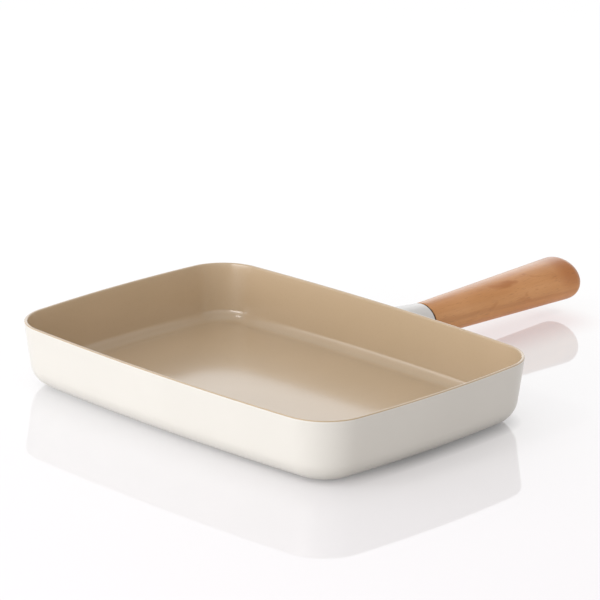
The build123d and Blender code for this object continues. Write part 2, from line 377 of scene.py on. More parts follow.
@dataclass(frozen=True, kw_only=True)
class HandledFinish(Finish):
    """Finish that shows how it is wiped and handled.

    Attributes:
        mark_scale: Clouds of its handling marks in a metre.
        mark_spread: How much the marks change its roughness.
    """

    mark_scale: float
    mark_spread: float

    def mark(self, canvas: MaterialCanvas, effects: Effects) -> None:
        """Let the marks change the roughness."""
        marks = {"Scale": self.mark_scale, "Spread": self.mark_spread, "Roughness": self.roughness}
        canvas.paint("Roughness", canvas.effect(effects.marks, marks))


@dataclass(frozen=True, kw_only=True)
class BakedCoat(HandledFinish):
    """Sprayed and baked coat, such as lacquer or non-stick ceramic.

    Attributes:
        coat: Weight of the clear top layer.
        coat_roughness: Roughness of that layer.
        coat_density: Index of refraction of that layer.
        peel_size: Distance between the humps of its unevenness.
        peel_depth: Height of the humps.
        speck_colour: Colour of its fine specks.
        speck_share: How strongly the specks show.
        speck_pitch: Distance between the places where a speck may be.
        speck_size: Radius of a speck, as a share of that.
        cloud_scale: Clouds of the second colour in a metre.
        mark_scale: Clouds of its handling marks in a metre.
        mark_spread: How much the marks change its roughness.
    """

    coat: float
    coat_roughness: float
    coat_density: float = 1.5
    peel_size: float
    peel_depth: float
    speck_colour: Colour
    speck_share: float
    speck_pitch: float = 0.9 * MM
    speck_size: float = 0.3
    cloud_scale: float = 14.0
    mark_scale: float = 22.0
    mark_spread: float = 0.02

    def build(self, effects: Effects) -> bpy.types.Material:
        """Make the material.

        Args:
            effects: Shared effects.

        Returns:
            The material.
        """
        canvas = MaterialCanvas(
            self.name,
            Coat_Weight=self.coat,
            Coat_Roughness=self.coat_roughness,
            Coat_IOR=self.coat_density,
        )
        colour = self.drifting(canvas, effects)
        specks = {"Scale": 1 / self.speck_pitch, "Size": self.speck_size}
        share = canvas.times(canvas.effect(effects.specks, specks), self.speck_share)
        canvas.paint("Base Color", canvas.mix(share, colour, self.speck_colour))
        self.mark(canvas, effects)
        height = canvas.effect(effects.peel, {"Scale": 1 / self.peel_size})
        canvas.paint("Normal", canvas.bump(height, self.peel_depth))
        return canvas.material


@dataclass(frozen=True, kw_only=True)
class WorkedMetal(Finish):
    """Bare metal with the fine lines of its working.

    Attributes:
        lines: Way in which the lines run.
        line_width: Width of a line.
        line_depth: Depth of a line.
        line_spread: How much the lines add to the roughness.
        cloud_scale: Clouds of the second colour in a metre.
    """

    lines: Lines
    line_width: float
    line_depth: float
    line_spread: float = 0.14
    cloud_scale: float = 60.0

    def build(self, effects: Effects) -> bpy.types.Material:
        """Make the material.

        Args:
            effects: Shared effects.

        Returns:
            The material.
        """
        canvas = MaterialCanvas(self.name, Metallic=1.0)
        canvas.paint("Base Color", self.drifting(canvas, effects))
        run = {"Stretch": self.lines.value, "Scale": 1 / self.line_width}
        height = canvas.effect(effects.lines, run)
        spread = canvas.times(height, self.line_spread)
        canvas.paint("Roughness", canvas.math("ADD", spread, self.roughness))
        canvas.paint("Normal", canvas.bump(height, self.line_depth))
        return canvas.material


@dataclass(frozen=True, kw_only=True)
class Silicone(HandledFinish):
    """Dark matt silicone with a fine tooth.

    Attributes:
        tooth_size: Distance between its fine humps.
        tooth_depth: Height of the humps.
        cloud_scale: Clouds of the second colour in a metre.
        mark_scale: Clouds of its handling marks in a metre.
        mark_spread: How much the marks change its roughness.
    """

    tooth_size: float = 0.25 * MM
    tooth_depth: float = 0.01 * MM
    cloud_scale: float = 180.0
    mark_scale: float = 400.0
    mark_spread: float = 0.08

    def build(self, effects: Effects) -> bpy.types.Material:
        """Make the material.

        Args:
            effects: Shared effects.

        Returns:
            The material.
        """
        canvas = MaterialCanvas(self.name)
        canvas.paint("Base Color", self.drifting(canvas, effects))
        self.mark(canvas, effects)
        height = canvas.effect(effects.peel, {"Scale": 1 / self.tooth_size})
        canvas.paint("Normal", canvas.bump(height, self.tooth_depth))
        return canvas.material


@dataclass(frozen=True, kw_only=True)
class OiledWood(HandledFinish):
    """Oiled wood whose grain runs along Y.

    Attributes:
        streak_colour: Colour of the late wood.
        sap_colour: Lighter colour on the underside, painted light that stands in for the light it gets
            there.
        patch_colour: Colour of the warm, darker patches, and of the painted shade on top of the handle.
        pore_colour: Colour of the pores.
        ring_pitch: Distance between the growth rings.
        heart: Place of the rings' centre beside the handle, across X and Z.
        tip: Place of the handle's tip along Y.
        grain_stretch: Stretch of the coordinates for the fibres.
        fibre_scale: Fibres in a metre.
        fibre_share: How strongly they show.
        pore_stretch: Stretch of the coordinates for the pores.
        pore_scale: Pores in a metre.
        pore_span: Values of their noise between which a pore starts.
        pore_share: How strongly they show.
        relief: Depth of the grain.
        fibre_relief: What the fibres have of it.
        cloud_scale: Clouds of the second colour in a metre.
        mark_scale: Clouds of its handling marks in a metre.
        mark_spread: How much the marks change its roughness.
        polish: Weight of the clear top layer, over the height.
        sapwood: Share of that painted light on the underside, over the height.
        ring_share: How strongly the rings show, over the height.
        ring_stretch: Stretch of the coordinates for the rings.
        sway_scale: Sways of the rings in a metre.
        ring_sway: How far they sway.
        ring_span: Values of the wave between which a ring darkens.
        patch_stretch: Stretch of the coordinates for the patches.
        patch_clouds: Share of the patches, over their noise.
        patch_heights: What is left of them, over the height.
        patch_places: What is left of them, along the handle.
        heartwood: Share of that colour on top of the handle, over the height, as painted shade.
        warm_end: Share of their colour on the handle's outer end, along it.
        end_grain: Share of their colour near the tip, over the distance past it.
        crown: What is left of that, over the height.
    """

    streak_colour: Colour
    sap_colour: Colour
    patch_colour: Colour
    pore_colour: Colour
    ring_pitch: float
    heart: Point
    tip: float
    grain_stretch: Direction = (1.0, 0.035, 1.0)
    fibre_scale: float = 900.0
    fibre_share: float = 0.28
    pore_stretch: Direction = (1.0, 0.06, 1.0)
    pore_scale: float = 2300.0
    pore_span: Point = (0.6, 0.72)
    pore_share: float = 0.35
    relief: float = 0.012 * MM
    fibre_relief: float = 0.5
    cloud_scale: float = 26.0
    mark_scale: float = 45.0
    mark_spread: float = 0.05
    polish: Fade = (14 * MM, 30 * MM, 0.05, 0.85)
    sapwood: Fade = (12 * MM, 22 * MM, 0.5, 0.0)
    ring_share: Fade = (12 * MM, 22 * MM, 0.15, 0.5)
    ring_stretch: Direction = (1.0, 0.3, 1.0)
    sway_scale: float = 30.0
    ring_sway: float = 9 * MM
    ring_span: Point = (-0.2, 1.0)
    patch_stretch: Direction = (1.0, 0.5, 1.0)
    patch_clouds: Fade = (0.48, 0.72, 0.0, 0.95)
    patch_heights: Fade = (15 * MM, 28 * MM, 0.25, 1.0)
    patch_places: Fade = (150 * MM, 195 * MM, 0.2, 1.0)
    heartwood: Fade = (18 * MM, 33 * MM, 0.0, 0.4)
    warm_end: Fade = (185 * MM, 210 * MM, 0.0, 0.25)
    end_grain: Fade = (-34 * MM, -14 * MM, 0.0, 1.0)
    crown: Fade = (19 * MM, 28 * MM, 0.4, 1.0)

    def build(self, effects: Effects) -> bpy.types.Material:
        """Make the material.

        Args:
            effects: Shared effects.

        Returns:
            The material.
        """
        gloss = {"Specular_IOR_Level": 0.25, "Coat_Roughness": 0.2, "Coat_IOR": 1.5}
        canvas = MaterialCanvas(self.name, **gloss)
        height = canvas.axes(canvas.place)["Z"]
        canvas.paint("Coat Weight", canvas.ramp(height, *self.polish))
        run = {"Stretch": self.grain_stretch, "Scale": self.fibre_scale}
        fibre = canvas.effect(effects.lines, run)
        pore_place = canvas.stretch(canvas.place, self.pore_stretch)
        pores = canvas.noise(pore_place, self.pore_scale, detail=2.0)
        pores = canvas.ramp(pores, *self.pore_span)
        rings = canvas.times(self.growth_rings(canvas), canvas.ramp(height, *self.ring_share))
        layers = (
            # Painted light: the underside of the handle is made lighter in colour, in place of the light
            # it gets.
            (canvas.ramp(height, *self.sapwood), self.sap_colour),
            (rings, self.streak_colour),
            (canvas.times(fibre, self.fibre_share), self.streak_colour),
            # Darker patches, with painted shade on the top of the handle.
            (self.patches(canvas), self.patch_colour),
            (canvas.times(pores, self.pore_share), self.pore_colour),
        )
        colour = self.drifting(canvas, effects)
        for share, layer_colour in layers:
            colour = canvas.mix(share, colour, layer_colour)
        canvas.paint("Base Color", colour)
        self.mark(canvas, effects)
        relief = canvas.math("SUBTRACT", canvas.times(fibre, self.fibre_relief), pores)
        canvas.paint("Normal", canvas.bump(relief, self.relief))
        return canvas.material

    def growth_rings(self, canvas: MaterialCanvas) -> Socket:
        """Return the mask of the growth rings, which sway along the grain.

        Args:
            canvas: Canvas of the material.

        Returns:
            The socket with the mask.
        """
        ring_place = canvas.stretch(canvas.place, self.ring_stretch)
        sway = canvas.noise(ring_place, self.sway_scale, detail=2.0)
        spot = canvas.axes(canvas.place)
        squares = [
            canvas.math("POWER", canvas.math("SUBTRACT", spot[axis], middle), 2.0)
            for axis, middle in zip("XZ", self.heart)
        ]
        radius = canvas.math("SQRT", canvas.math("ADD", *squares))
        bent = canvas.math("ADD", radius, canvas.times(sway, self.ring_sway))
        phase = canvas.times(bent, 2 * pi / self.ring_pitch)
        return canvas.ramp(canvas.math("SINE", phase), *self.ring_span)

    def patches(self, canvas: MaterialCanvas) -> Socket:
        """Return the mask of the darker patches, of the painted shade on top and of the end grain at the
        tip.

        Args:
            canvas: Canvas of the material.

        Returns:
            The socket with the mask.
        """
        inputs = {
            "Vector": canvas.stretch(canvas.place, self.patch_stretch),
            "Scale": 48.0,
            "Detail": 2.5,
            "Roughness": 0.5,
            "Distortion": 1.2,
        }
        cloud = canvas.add("ShaderNodeTexNoise", inputs).outputs[0]
        spot = canvas.axes(canvas.place)
        past_tip = canvas.math("SUBTRACT", spot["Y"], self.tip)
        crown = canvas.ramp(spot["Z"], *self.crown)
        clouds = canvas.ramp(cloud, *self.patch_clouds)
        patch = canvas.times(clouds, canvas.ramp(spot["Z"], *self.patch_heights))
        patch = canvas.times(patch, canvas.ramp(spot["Y"], *self.patch_places))
        for other in (
            # Painted shade: the top of the handle is made darker in colour.
            canvas.ramp(spot["Z"], *self.heartwood),
            canvas.ramp(spot["Y"], *self.warm_end),
            canvas.times(canvas.ramp(past_tip, *self.end_grain), crown),
        ):
            patch = canvas.math("MAXIMUM", patch, other)
        return patch


@dataclass(frozen=True)
class GlossyTable:
    """Glossy white table that turns into a plain white background behind the pan.

    Attributes:
        direction: Level direction away from the camera.
        shade_direction: Level direction of the pan's darker side.
        handle_tip: Where the handle ends, along Y.
        colour: Colour of the table.
        bounce_colour: Colour with which it lights the pan, under the studio's dark front.
        far_bounce_colour: Colour with which it lights the handle, behind the pan.
        far_bounce: Share of the latter, along the direction.
        glow: Share of the white background near the pan, along the direction.
        roughness: How blurred the table's reflections are.
        density: Refractive index of its gloss.
        white: Share of plain white, over the distance from the pan.
        shade: Darkness of the shade beside the pan's darker side, along its direction.
        shade_reach: How far that shade reaches from the pan.
        shade_samples: Rays that look for it.
        shadow_colour: What the handle's soft shadow leaves of the table's colour.
        shadow_middle: Middle of that shadow, along X.
        shadow_aside: Its depth, over the distance from its middle.
        shadow_start: What is left of it under the pan, along Y.
        shadow_end: What is left of it near the handle's tip, over the distance past it.
    """

    direction: Direction
    shade_direction: Direction
    handle_tip: float
    colour: Colour = (0.96, 0.94, 0.965, 1)
    bounce_colour: Colour = (0.5, 0.49, 0.48, 1)
    far_bounce_colour: Colour = (0.98, 0.94, 0.92, 1)
    far_bounce: Fade = (0.0, 0.16, 0.0, 1.0)
    glow: Fade = (-0.35, 0.26, 0.0, 0.8)
    roughness: float = 0.03
    density: float = 1.75
    white: Fade = (0.5, 1.2, 0.0, 1.0)
    shade: Fade = (0.03, 0.09, 0.0, 0.42)
    shade_reach: float = 9 * MM
    shade_samples: int = 16
    shadow_colour: Colour = (0.90, 0.81, 0.81, 1)
    shadow_middle: float = 9 * MM
    shadow_aside: Fade = (6 * MM, 41 * MM, 1.0, 0.0)
    shadow_start: Fade = (0.0, 80 * MM, 0.0, 1.0)
    shadow_end: Fade = (-27 * MM, 6 * MM, 1.0, 0.0)

    def build(self) -> bpy.types.Material:
        """Make the material.

        Returns:
            The material.
        """
        canvas = MaterialCanvas("glossy_table")
        canvas.tree.nodes.remove(canvas.shader)
        path = canvas.add("ShaderNodeLightPath").outputs
        seen = canvas.math("MAXIMUM", path["Is Camera Ray"], path["Is Glossy Ray"])
        along = canvas.reach(canvas.place, self.direction)
        shade = self.contact_shade(canvas)
        shadow = self.handle_shadow(canvas)
        behind = canvas.ramp(along, *self.far_bounce)
        bounce = canvas.mix(behind, self.bounce_colour, self.far_bounce_colour)
        colour = canvas.mix(seen, bounce, self.colour)
        colour = canvas.mix(shadow, colour, self.shadow_colour, "MULTIPLY")
        colour = canvas.mix(shade, colour, BLACK)
        lit = canvas.add("ShaderNodeBsdfDiffuse", {"Color": colour})
        depth = canvas.ramp(along, *self.glow)
        inputs = {
            "Color": canvas.mix(shadow, WHITE, self.shadow_colour),
            "Strength": canvas.math("SUBTRACT", 1.0, shade),
        }
        glow = canvas.add("ShaderNodeEmission", inputs)
        body = self.blend(canvas, canvas.times(depth, seen), lit, glow)
        gloss = canvas.add("ShaderNodeBsdfAnisotropic", {"Roughness": self.roughness})
        fresnel = canvas.add("ShaderNodeFresnel", {"IOR": self.density}).outputs[0]
        top = self.blend(canvas, fresnel, body, gloss)
        length = canvas.add("ShaderNodeVectorMath", {0: canvas.place}, operation="LENGTH")
        fade = canvas.times(canvas.ramp(length.outputs["Value"], *self.white), seen)
        white = canvas.add("ShaderNodeEmission", {"Strength": 1.0})
        whole = self.blend(canvas, fade, top, white)
        canvas.feed(canvas.tree.nodes["Material Output"].inputs["Surface"], whole.outputs[0])
        return canvas.material

    def contact_shade(self, canvas: NodeCanvas) -> Socket:
        """Return how dark the table is under the pan's side away from the light.

        Args:
            canvas: Canvas of the material.

        Returns:
            The socket with the share, 0 where the table is open to the light.
        """
        inputs = {"Distance": self.shade_reach}
        kind = "ShaderNodeAmbientOcclusion"
        open_share = canvas.add(kind, inputs, samples=self.shade_samples).outputs["AO"]
        sideways = canvas.reach(canvas.place, self.shade_direction)
        weight = canvas.ramp(sideways, *self.shade)
        return canvas.times(weight, canvas.math("SUBTRACT", 1.0, open_share))

    def handle_shadow(self, canvas: NodeCanvas) -> Socket:
        """Return the mask of the soft shadow under the handle.

        Args:
            canvas: Canvas of the material.

        Returns:
            The socket with the mask.
        """
        spot = canvas.axes(canvas.place)
        aside = canvas.math("ABSOLUTE", canvas.math("SUBTRACT", spot["X"], self.shadow_middle))
        past_tip = canvas.math("SUBTRACT", spot["Y"], self.handle_tip)
        ends = canvas.ramp(past_tip, *self.shadow_end)
        ends = canvas.times(ends, canvas.ramp(spot["Y"], *self.shadow_start))
        return canvas.times(canvas.ramp(aside, *self.shadow_aside), ends)

    def blend(
        self, canvas: NodeCanvas, share: object, first: bpy.types.Node, second: bpy.types.Node
    ) -> bpy.types.Node:
        """Mix two shaders, with the share of the second one."""
        inputs = {"Fac": share, 1: first.outputs[0], 2: second.outputs[0]}
        return canvas.add("ShaderNodeMixShader", inputs)


class FinishRack:
    """All finishes of the pan as materials."""

    def __init__(self, tip: float) -> None:
        """Build the materials.

        Args:
            tip: Place of the handle's tip along Y.
        """
        effects = Effects()
        self.lacquer = BakedCoat(
            name="baked_lacquer",
            colour=(0.81, 0.78, 0.73, 1),
            second_colour=(0.79, 0.76, 0.71, 1),
            roughness=0.31,
            coat=0.25,
            coat_roughness=0.31,
            peel_size=2.6 * MM,
            peel_depth=0.001 * MM,
            speck_colour=(0.74, 0.71, 0.66, 1),
            speck_share=0.06,
        ).build(effects)
        self.collar = BakedCoat(
            name="collar_lacquer",
            colour=(0.70, 0.69, 0.68, 1),
            second_colour=(0.67, 0.66, 0.65, 1),
            roughness=0.22,
            coat=0.3,
            coat_roughness=0.2,
            peel_size=2.2 * MM,
            peel_depth=0.004 * MM,
            speck_colour=(0.70, 0.70, 0.71, 1),
            speck_share=0.1,
        ).build(effects)
        self.lining = BakedCoat(
            name="baked_ceramic",
            colour=(0.53, 0.396, 0.256, 1),
            second_colour=(0.51, 0.381, 0.243, 1),
            roughness=0.32,
            coat=1.0,
            coat_roughness=0.13,
            coat_density=1.6,
            peel_size=1.8 * MM,
            peel_depth=0.0015 * MM,
            speck_colour=(0.34, 0.235, 0.14, 1),
            speck_share=0.3,
        ).build(effects)
        along_x, along_y, all_ways = Lines.ALONG_X, Lines.ALONG_Y, Lines.ALL_WAYS
        metals = {
            Metal.ALUMINIUM: ((0.80, 0.80, 0.79, 1), (0.74, 0.74, 0.735, 1), 0.28, along_x, 0.5, 0.01),
            Metal.PLATE: ((0.56, 0.55, 0.54, 1), (0.50, 0.49, 0.48, 1), 0.30, along_x, 0.35, 0.012),
            Metal.STUD: ((0.76, 0.76, 0.76, 1), (0.70, 0.70, 0.70, 1), 0.3, all_ways, 0.3, 0.005),
            Metal.BRACKET: ((0.52, 0.52, 0.52, 1), (0.46, 0.46, 0.47, 1), 0.42, along_y, 0.4, 0.01),
            Metal.FASTENER: ((0.66, 0.66, 0.67, 1), (0.60, 0.60, 0.60, 1), 0.12, all_ways, 0.3, 0.004),
        }
        self.metals = {}
        for metal, (colour, second_colour, roughness, lines, width, depth) in metals.items():
            self.metals[metal] = WorkedMetal(
                name=metal.value,
                colour=colour,
                second_colour=second_colour,
                roughness=roughness,
                lines=lines,
                line_width=width * MM,
                line_depth=depth * MM,
            ).build(effects)
        self.seal = Silicone(
            name="dark_silicone",
            colour=(0.045, 0.03, 0.025, 1),
            second_colour=(0.07, 0.045, 0.035, 1),
            roughness=0.55,
        ).build(effects)
        self.wood = OiledWood(
            name="oiled_wood",
            colour=(0.755, 0.385, 0.155, 1),
            second_colour=(0.675, 0.325, 0.115, 1),
            roughness=0.42,
            streak_colour=(0.54, 0.23, 0.08, 1),
            # Painted light on the underside of the handle.
            sap_colour=(0.94, 0.44, 0.155, 1),
            patch_colour=(0.46, 0.165, 0.04, 1),
            pore_colour=(0.28, 0.11, 0.04, 1),
            ring_pitch=5.5 * MM,
            heart=(-22 * MM, -6 * MM),
            tip=tip,
        ).build(effects)


def arc_points(
    centre: Point, radius: float, start: float, end: float, steps: int
) -> list[Point]:
    """Return points along an arc, both ends included, with steps as its number of chords."""
    angles = [start + (end - start) * step / steps for step in range(steps + 1)]
    return [(centre[0] + radius * cos(a), centre[1] + radius * sin(a)) for a in angles]


def new_object(name: str, data: bpy.types.ID) -> bpy.types.Object:
    """Link a new object to the scene.

    Args:
        name: Name of the object.
        data: Its mesh or curve.

    Returns:
        The object.
    """
    made = bpy.data.objects.new(name, data)
    bpy.context.scene.collection.objects.link(made)
    return made


def new_spline(name: str, kind: str, closed: bool, arc_steps: int = 12) -> bpy.types.Spline:
    """Start a curve of one spline, on which a swept section stands upright.

    Args:
        name: Name of the curve.
        kind: Blender's name of the spline type.
        closed: Whether the last point joins the first one.
        arc_steps: Chords between two knots of a round spline.

    Returns:
        The spline, without its points.
    """
    curve = bpy.data.curves.new(name, "CURVE")
    curve.dimensions = "3D"
    curve.twist_mode = "Z_UP"
    curve.resolution_u = arc_steps
    spline = curve.splines.new(kind)
    spline.use_cyclic_u = closed
    return spline


def line_object(
    name: str, points: list[Point], closed: bool, radii: list[float] | None = None
) -> bpy.types.Object:
    """Make a flat curve of straight runs.

    Args:
        name: Name of the object.
        points: Its points, in the curve's own plane.
        closed: Whether the last point joins the first one.
        radii: Radius at each point, or None for 1.

    Returns:
        The curve object.
    """
    spline = new_spline(name, "POLY", closed)
    spline.points.add(len(points) - 1)
    for knot, (x, y), radius in zip(spline.points, points, radii or [1.0] * len(points)):
        knot.co = (x, y, 0, 1)
        knot.radius = radius
    return new_object(name, spline.id_data)


def bmesh_object(name: str, shape: bmesh.types.BMesh) -> bpy.types.Object:
    """Turn a shape that is drawn with bmesh into an object.

    Args:
        name: Name of the object.
        shape: The shape, which is used up.

    Returns:
        The object.
    """
    mesh = bpy.data.meshes.new(name)
    shape.to_mesh(mesh)
    shape.free()
    return new_object(name, mesh)


def discard(*helpers: bpy.types.Object) -> None:
    """Delete helper objects that no piece needs any more."""
    for helper in helpers:
        bpy.data.objects.remove(helper)


def run_tree(name: str, tree: bpy.types.NodeTree, values: Inputs) -> bpy.types.Object:
    """Run a Geometry Nodes tree on an empty mesh, and keep the plain mesh that it makes.

    Args:
        name: Name of the piece.
        tree: The Geometry Nodes tree.
        values: Its inputs, by name.

    Returns:
        The piece, with no modifier left.
    """
    piece = new_object(name, bpy.data.meshes.new(name))
    modifier = piece.modifiers.new("form", "NODES")
    modifier.node_group = tree
    for socket in tree.interface.items_tree:
        if socket.in_out == "INPUT" and socket.name in values:
            modifier[socket.identifier] = values[socket.name]
    settle(piece)
    return piece


def settle(piece: bpy.types.Object) -> None:
    """Replace a piece's mesh by the one that its modifiers make, and remove them.

    Args:
        piece: The piece.
    """
    graph = bpy.context.evaluated_depsgraph_get()
    made = bpy.data.meshes.new_from_object(piece.evaluated_get(graph))
    piece.modifiers.clear()
    old = piece.data
    piece.data = made
    bpy.data.meshes.remove(old)
    made.name = piece.name


def tidy_mesh(piece: bpy.types.Object, place: Matrix | None = None) -> None:
    """Close the open ends of a piece, turn its faces outwards and smooth what is round.

    Args:
        piece: The piece.
        place: Where its mesh goes, or None to leave it there.
    """
    if place is not None:
        piece.data.transform(place)
    shape = bmesh.new()
    shape.from_mesh(piece.data)
    bmesh.ops.remove_doubles(shape, verts=shape.verts, dist=CLOSE_POINTS)
    open_edges = [edge for edge in shape.edges if edge.is_boundary]
    bmesh.ops.holes_fill(shape, edges=open_edges)
    bmesh.ops.recalc_face_normals(shape, faces=shape.faces)
    for face in shape.faces:
        face.smooth = True
    shape.to_mesh(piece.data)
    shape.free()
    piece.data.set_sharp_from_angle(angle=CREASE_ANGLE)


def install(piece: bpy.types.Object, slot: Slot, *nodes: str) -> None:
    """Put a finished piece on the pan in place of its CAD nodes.

    Args:
        piece: The piece.
        slot: Material slot that it takes its finish from; not used.
        *nodes: CAD nodes that it stands for.
    """
    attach(piece, BODY)
    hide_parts(*nodes)
    log.info("%s: %d faces", piece.name, len(piece.data.polygons))


def dress_node(name: str, material: bpy.types.Material) -> None:
    """Give a CAD node its finish.

    Args:
        name: Name of the node.
        material: Its material.
    """
    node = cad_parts[name]
    for slot in node.material_slots:
        slot.material = material
    log.info("%s: dressed with %s", name, material.name)


class FormTrees:
    """Geometry Nodes trees that make the pan's shapes, each built once."""

    CORNER_STEPS = 12
    HOLE_SEGMENTS = 28

    def __init__(self) -> None:
        """Build the trees."""
        self.sweep = self.swept_skin()
        self.oval = self.tapered_oval()
        self.plate = self.perforated_plate()

    def start_tree(self, name: str, takes: dict[str, Kind]) -> GroupCanvas:
        """Start a tree that takes a finish besides its other inputs, and gives geometry."""
        takes = {**takes, "Finish": Kind.MATERIAL}
        return GroupCanvas(name, "GeometryNodeTree", takes, {"Geometry": Kind.GEOMETRY})

    def finish_tree(self, tree: GroupCanvas, geometry: Socket) -> bpy.types.NodeTree:
        """End a tree with real geometry that has its material.

        Args:
            tree: Canvas of the tree.
            geometry: Geometry to end with.

        Returns:
            The tree.
        """
        real = tree.add("GeometryNodeRealizeInstances", {"Geometry": geometry}).outputs[0]
        inputs = {"Geometry": real, "Material": tree.takes["Finish"]}
        dressed = tree.add("GeometryNodeSetMaterial", inputs)
        tree.feed(tree.gives["Geometry"], dressed.outputs[0])
        return tree.tree

    def swept_skin(self) -> bpy.types.NodeTree:
        """Return the tree that sweeps a wall's profile round a path."""
        takes = {"Path": Kind.OBJECT, "Profile": Kind.OBJECT, "Step": Kind.NUMBER}
        tree = self.start_tree("Swept Skin", takes)
        path = tree.add("GeometryNodeObjectInfo", {"Object": tree.takes["Path"]})
        profile = tree.add("GeometryNodeObjectInfo", {"Object": tree.takes["Profile"]})
        inputs = {"Curve": path.outputs["Geometry"], "Length": tree.takes["Step"]}
        even = tree.add("GeometryNodeResampleCurve", inputs, mode="LENGTH")
        inputs = {"Curve": even.outputs[0], "Profile Curve": profile.outputs["Geometry"]}
        return self.finish_tree(tree, tree.add("GeometryNodeCurveToMesh", inputs).outputs[0])

    def tapered_oval(self) -> bpy.types.NodeTree:
        """Return the tree that makes an oval rod whose two widths grow along its axis."""
        sizes = ("Length", "Start Width", "End Width", "Start Height", "End Height")
        takes = {"Axis": Kind.OBJECT, "Segments": Kind.COUNT, **dict.fromkeys(sizes, Kind.NUMBER)}
        tree = self.start_tree("Tapered Oval", takes)
        axis = tree.add("GeometryNodeObjectInfo", {"Object": tree.takes["Axis"]})
        inputs = {"Resolution": tree.takes["Segments"], "Radius": 1}
        circle = tree.add("GeometryNodeCurvePrimitiveCircle", inputs)
        inputs = {
            "Curve": axis.outputs["Geometry"],
            "Profile Curve": circle.outputs[0],
            "Scale": tree.add("GeometryNodeInputRadius").outputs[0],
        }
        rod = tree.add("GeometryNodeCurveToMesh", inputs).outputs[0]
        place = tree.add("GeometryNodeInputPosition").outputs[0]
        parts = tree.axes(place)
        spans = []
        for size in ("Width", "Height"):
            inputs = {
                "Value": parts["X"],
                "From Max": tree.takes["Length"],
                "To Min": tree.takes[f"Start {size}"],
                "To Max": tree.takes[f"End {size}"],
            }
            spans.append(tree.add("ShaderNodeMapRange", inputs, clamp=False).outputs[0])
        flatness = tree.math("DIVIDE", spans[1], spans[0])
        inputs = {"X": parts["X"], "Y": parts["Y"], "Z": tree.times(parts["Z"], flatness)}
        oval_place = tree.add("ShaderNodeCombineXYZ", inputs).outputs[0]
        inputs = {"Geometry": rod, "Position": oval_place}
        return self.finish_tree(tree, tree.add("GeometryNodeSetPosition", inputs).outputs[0])

    def perforated_plate(self) -> bpy.types.NodeTree:
        """Return the tree that makes a round-cornered plate with a grid of round holes."""
        sizes = ("Length", "Width", "Corner Radius", "Thickness", "Hole Radius")
        sizes += ("Field Length", "Field Width")
        takes = dict.fromkeys(sizes, Kind.NUMBER) | dict.fromkeys(("Columns", "Rows"), Kind.COUNT)
        tree = self.start_tree("Perforated Plate", takes)
        inputs = {"Width": tree.takes["Length"], "Height": tree.takes["Width"]}
        sheet = tree.add("GeometryNodeCurvePrimitiveQuadrilateral", inputs)
        inputs = {
            "Curve": sheet.outputs[0],
            "Count": self.CORNER_STEPS,
            "Radius": tree.takes["Corner Radius"],
        }
        edge = tree.add("GeometryNodeFilletCurve", inputs, mode="POLY")
        inputs = {
            "Size X": tree.takes["Field Length"],
            "Size Y": tree.takes["Field Width"],
            "Vertices X": tree.takes["Columns"],
            "Vertices Y": tree.takes["Rows"],
        }
        field = tree.add("GeometryNodeMeshGrid", inputs)
        inputs = {"Resolution": self.HOLE_SEGMENTS, "Radius": tree.takes["Hole Radius"]}
        hole = tree.add("GeometryNodeCurvePrimitiveCircle", inputs)
        inputs = {"Points": field.outputs[0], "Instance": hole.outputs[0]}
        holes = tree.add("GeometryNodeInstanceOnPoints", inputs)
        real = tree.add("GeometryNodeRealizeInstances", {"Geometry": holes.outputs[0]})
        outline = tree.add("GeometryNodeJoinGeometry")
        tree.feed(outline.inputs[0], edge.outputs[0])
        tree.feed(outline.inputs[0], real.outputs[0])
        lower = tree.add("GeometryNodeFillCurve", {"Curve": outline.outputs[0]}, mode="TRIANGLES")
        rise = tree.add("ShaderNodeCombineXYZ", {"Z": tree.takes["Thickness"]})
        inputs = {"Mesh": lower.outputs[0], "Offset": rise.outputs[0], "Individual": False}
        raised = tree.add("GeometryNodeExtrudeMesh", inputs)
        flipped = tree.add("GeometryNodeFlipFaces", {"Mesh": lower.outputs[0]})
        solid = tree.add("GeometryNodeJoinGeometry")
        tree.feed(solid.inputs[0], raised.outputs[0])
        tree.feed(solid.inputs[0], flipped.outputs[0])
        return self.finish_tree(tree, solid.outputs[0])


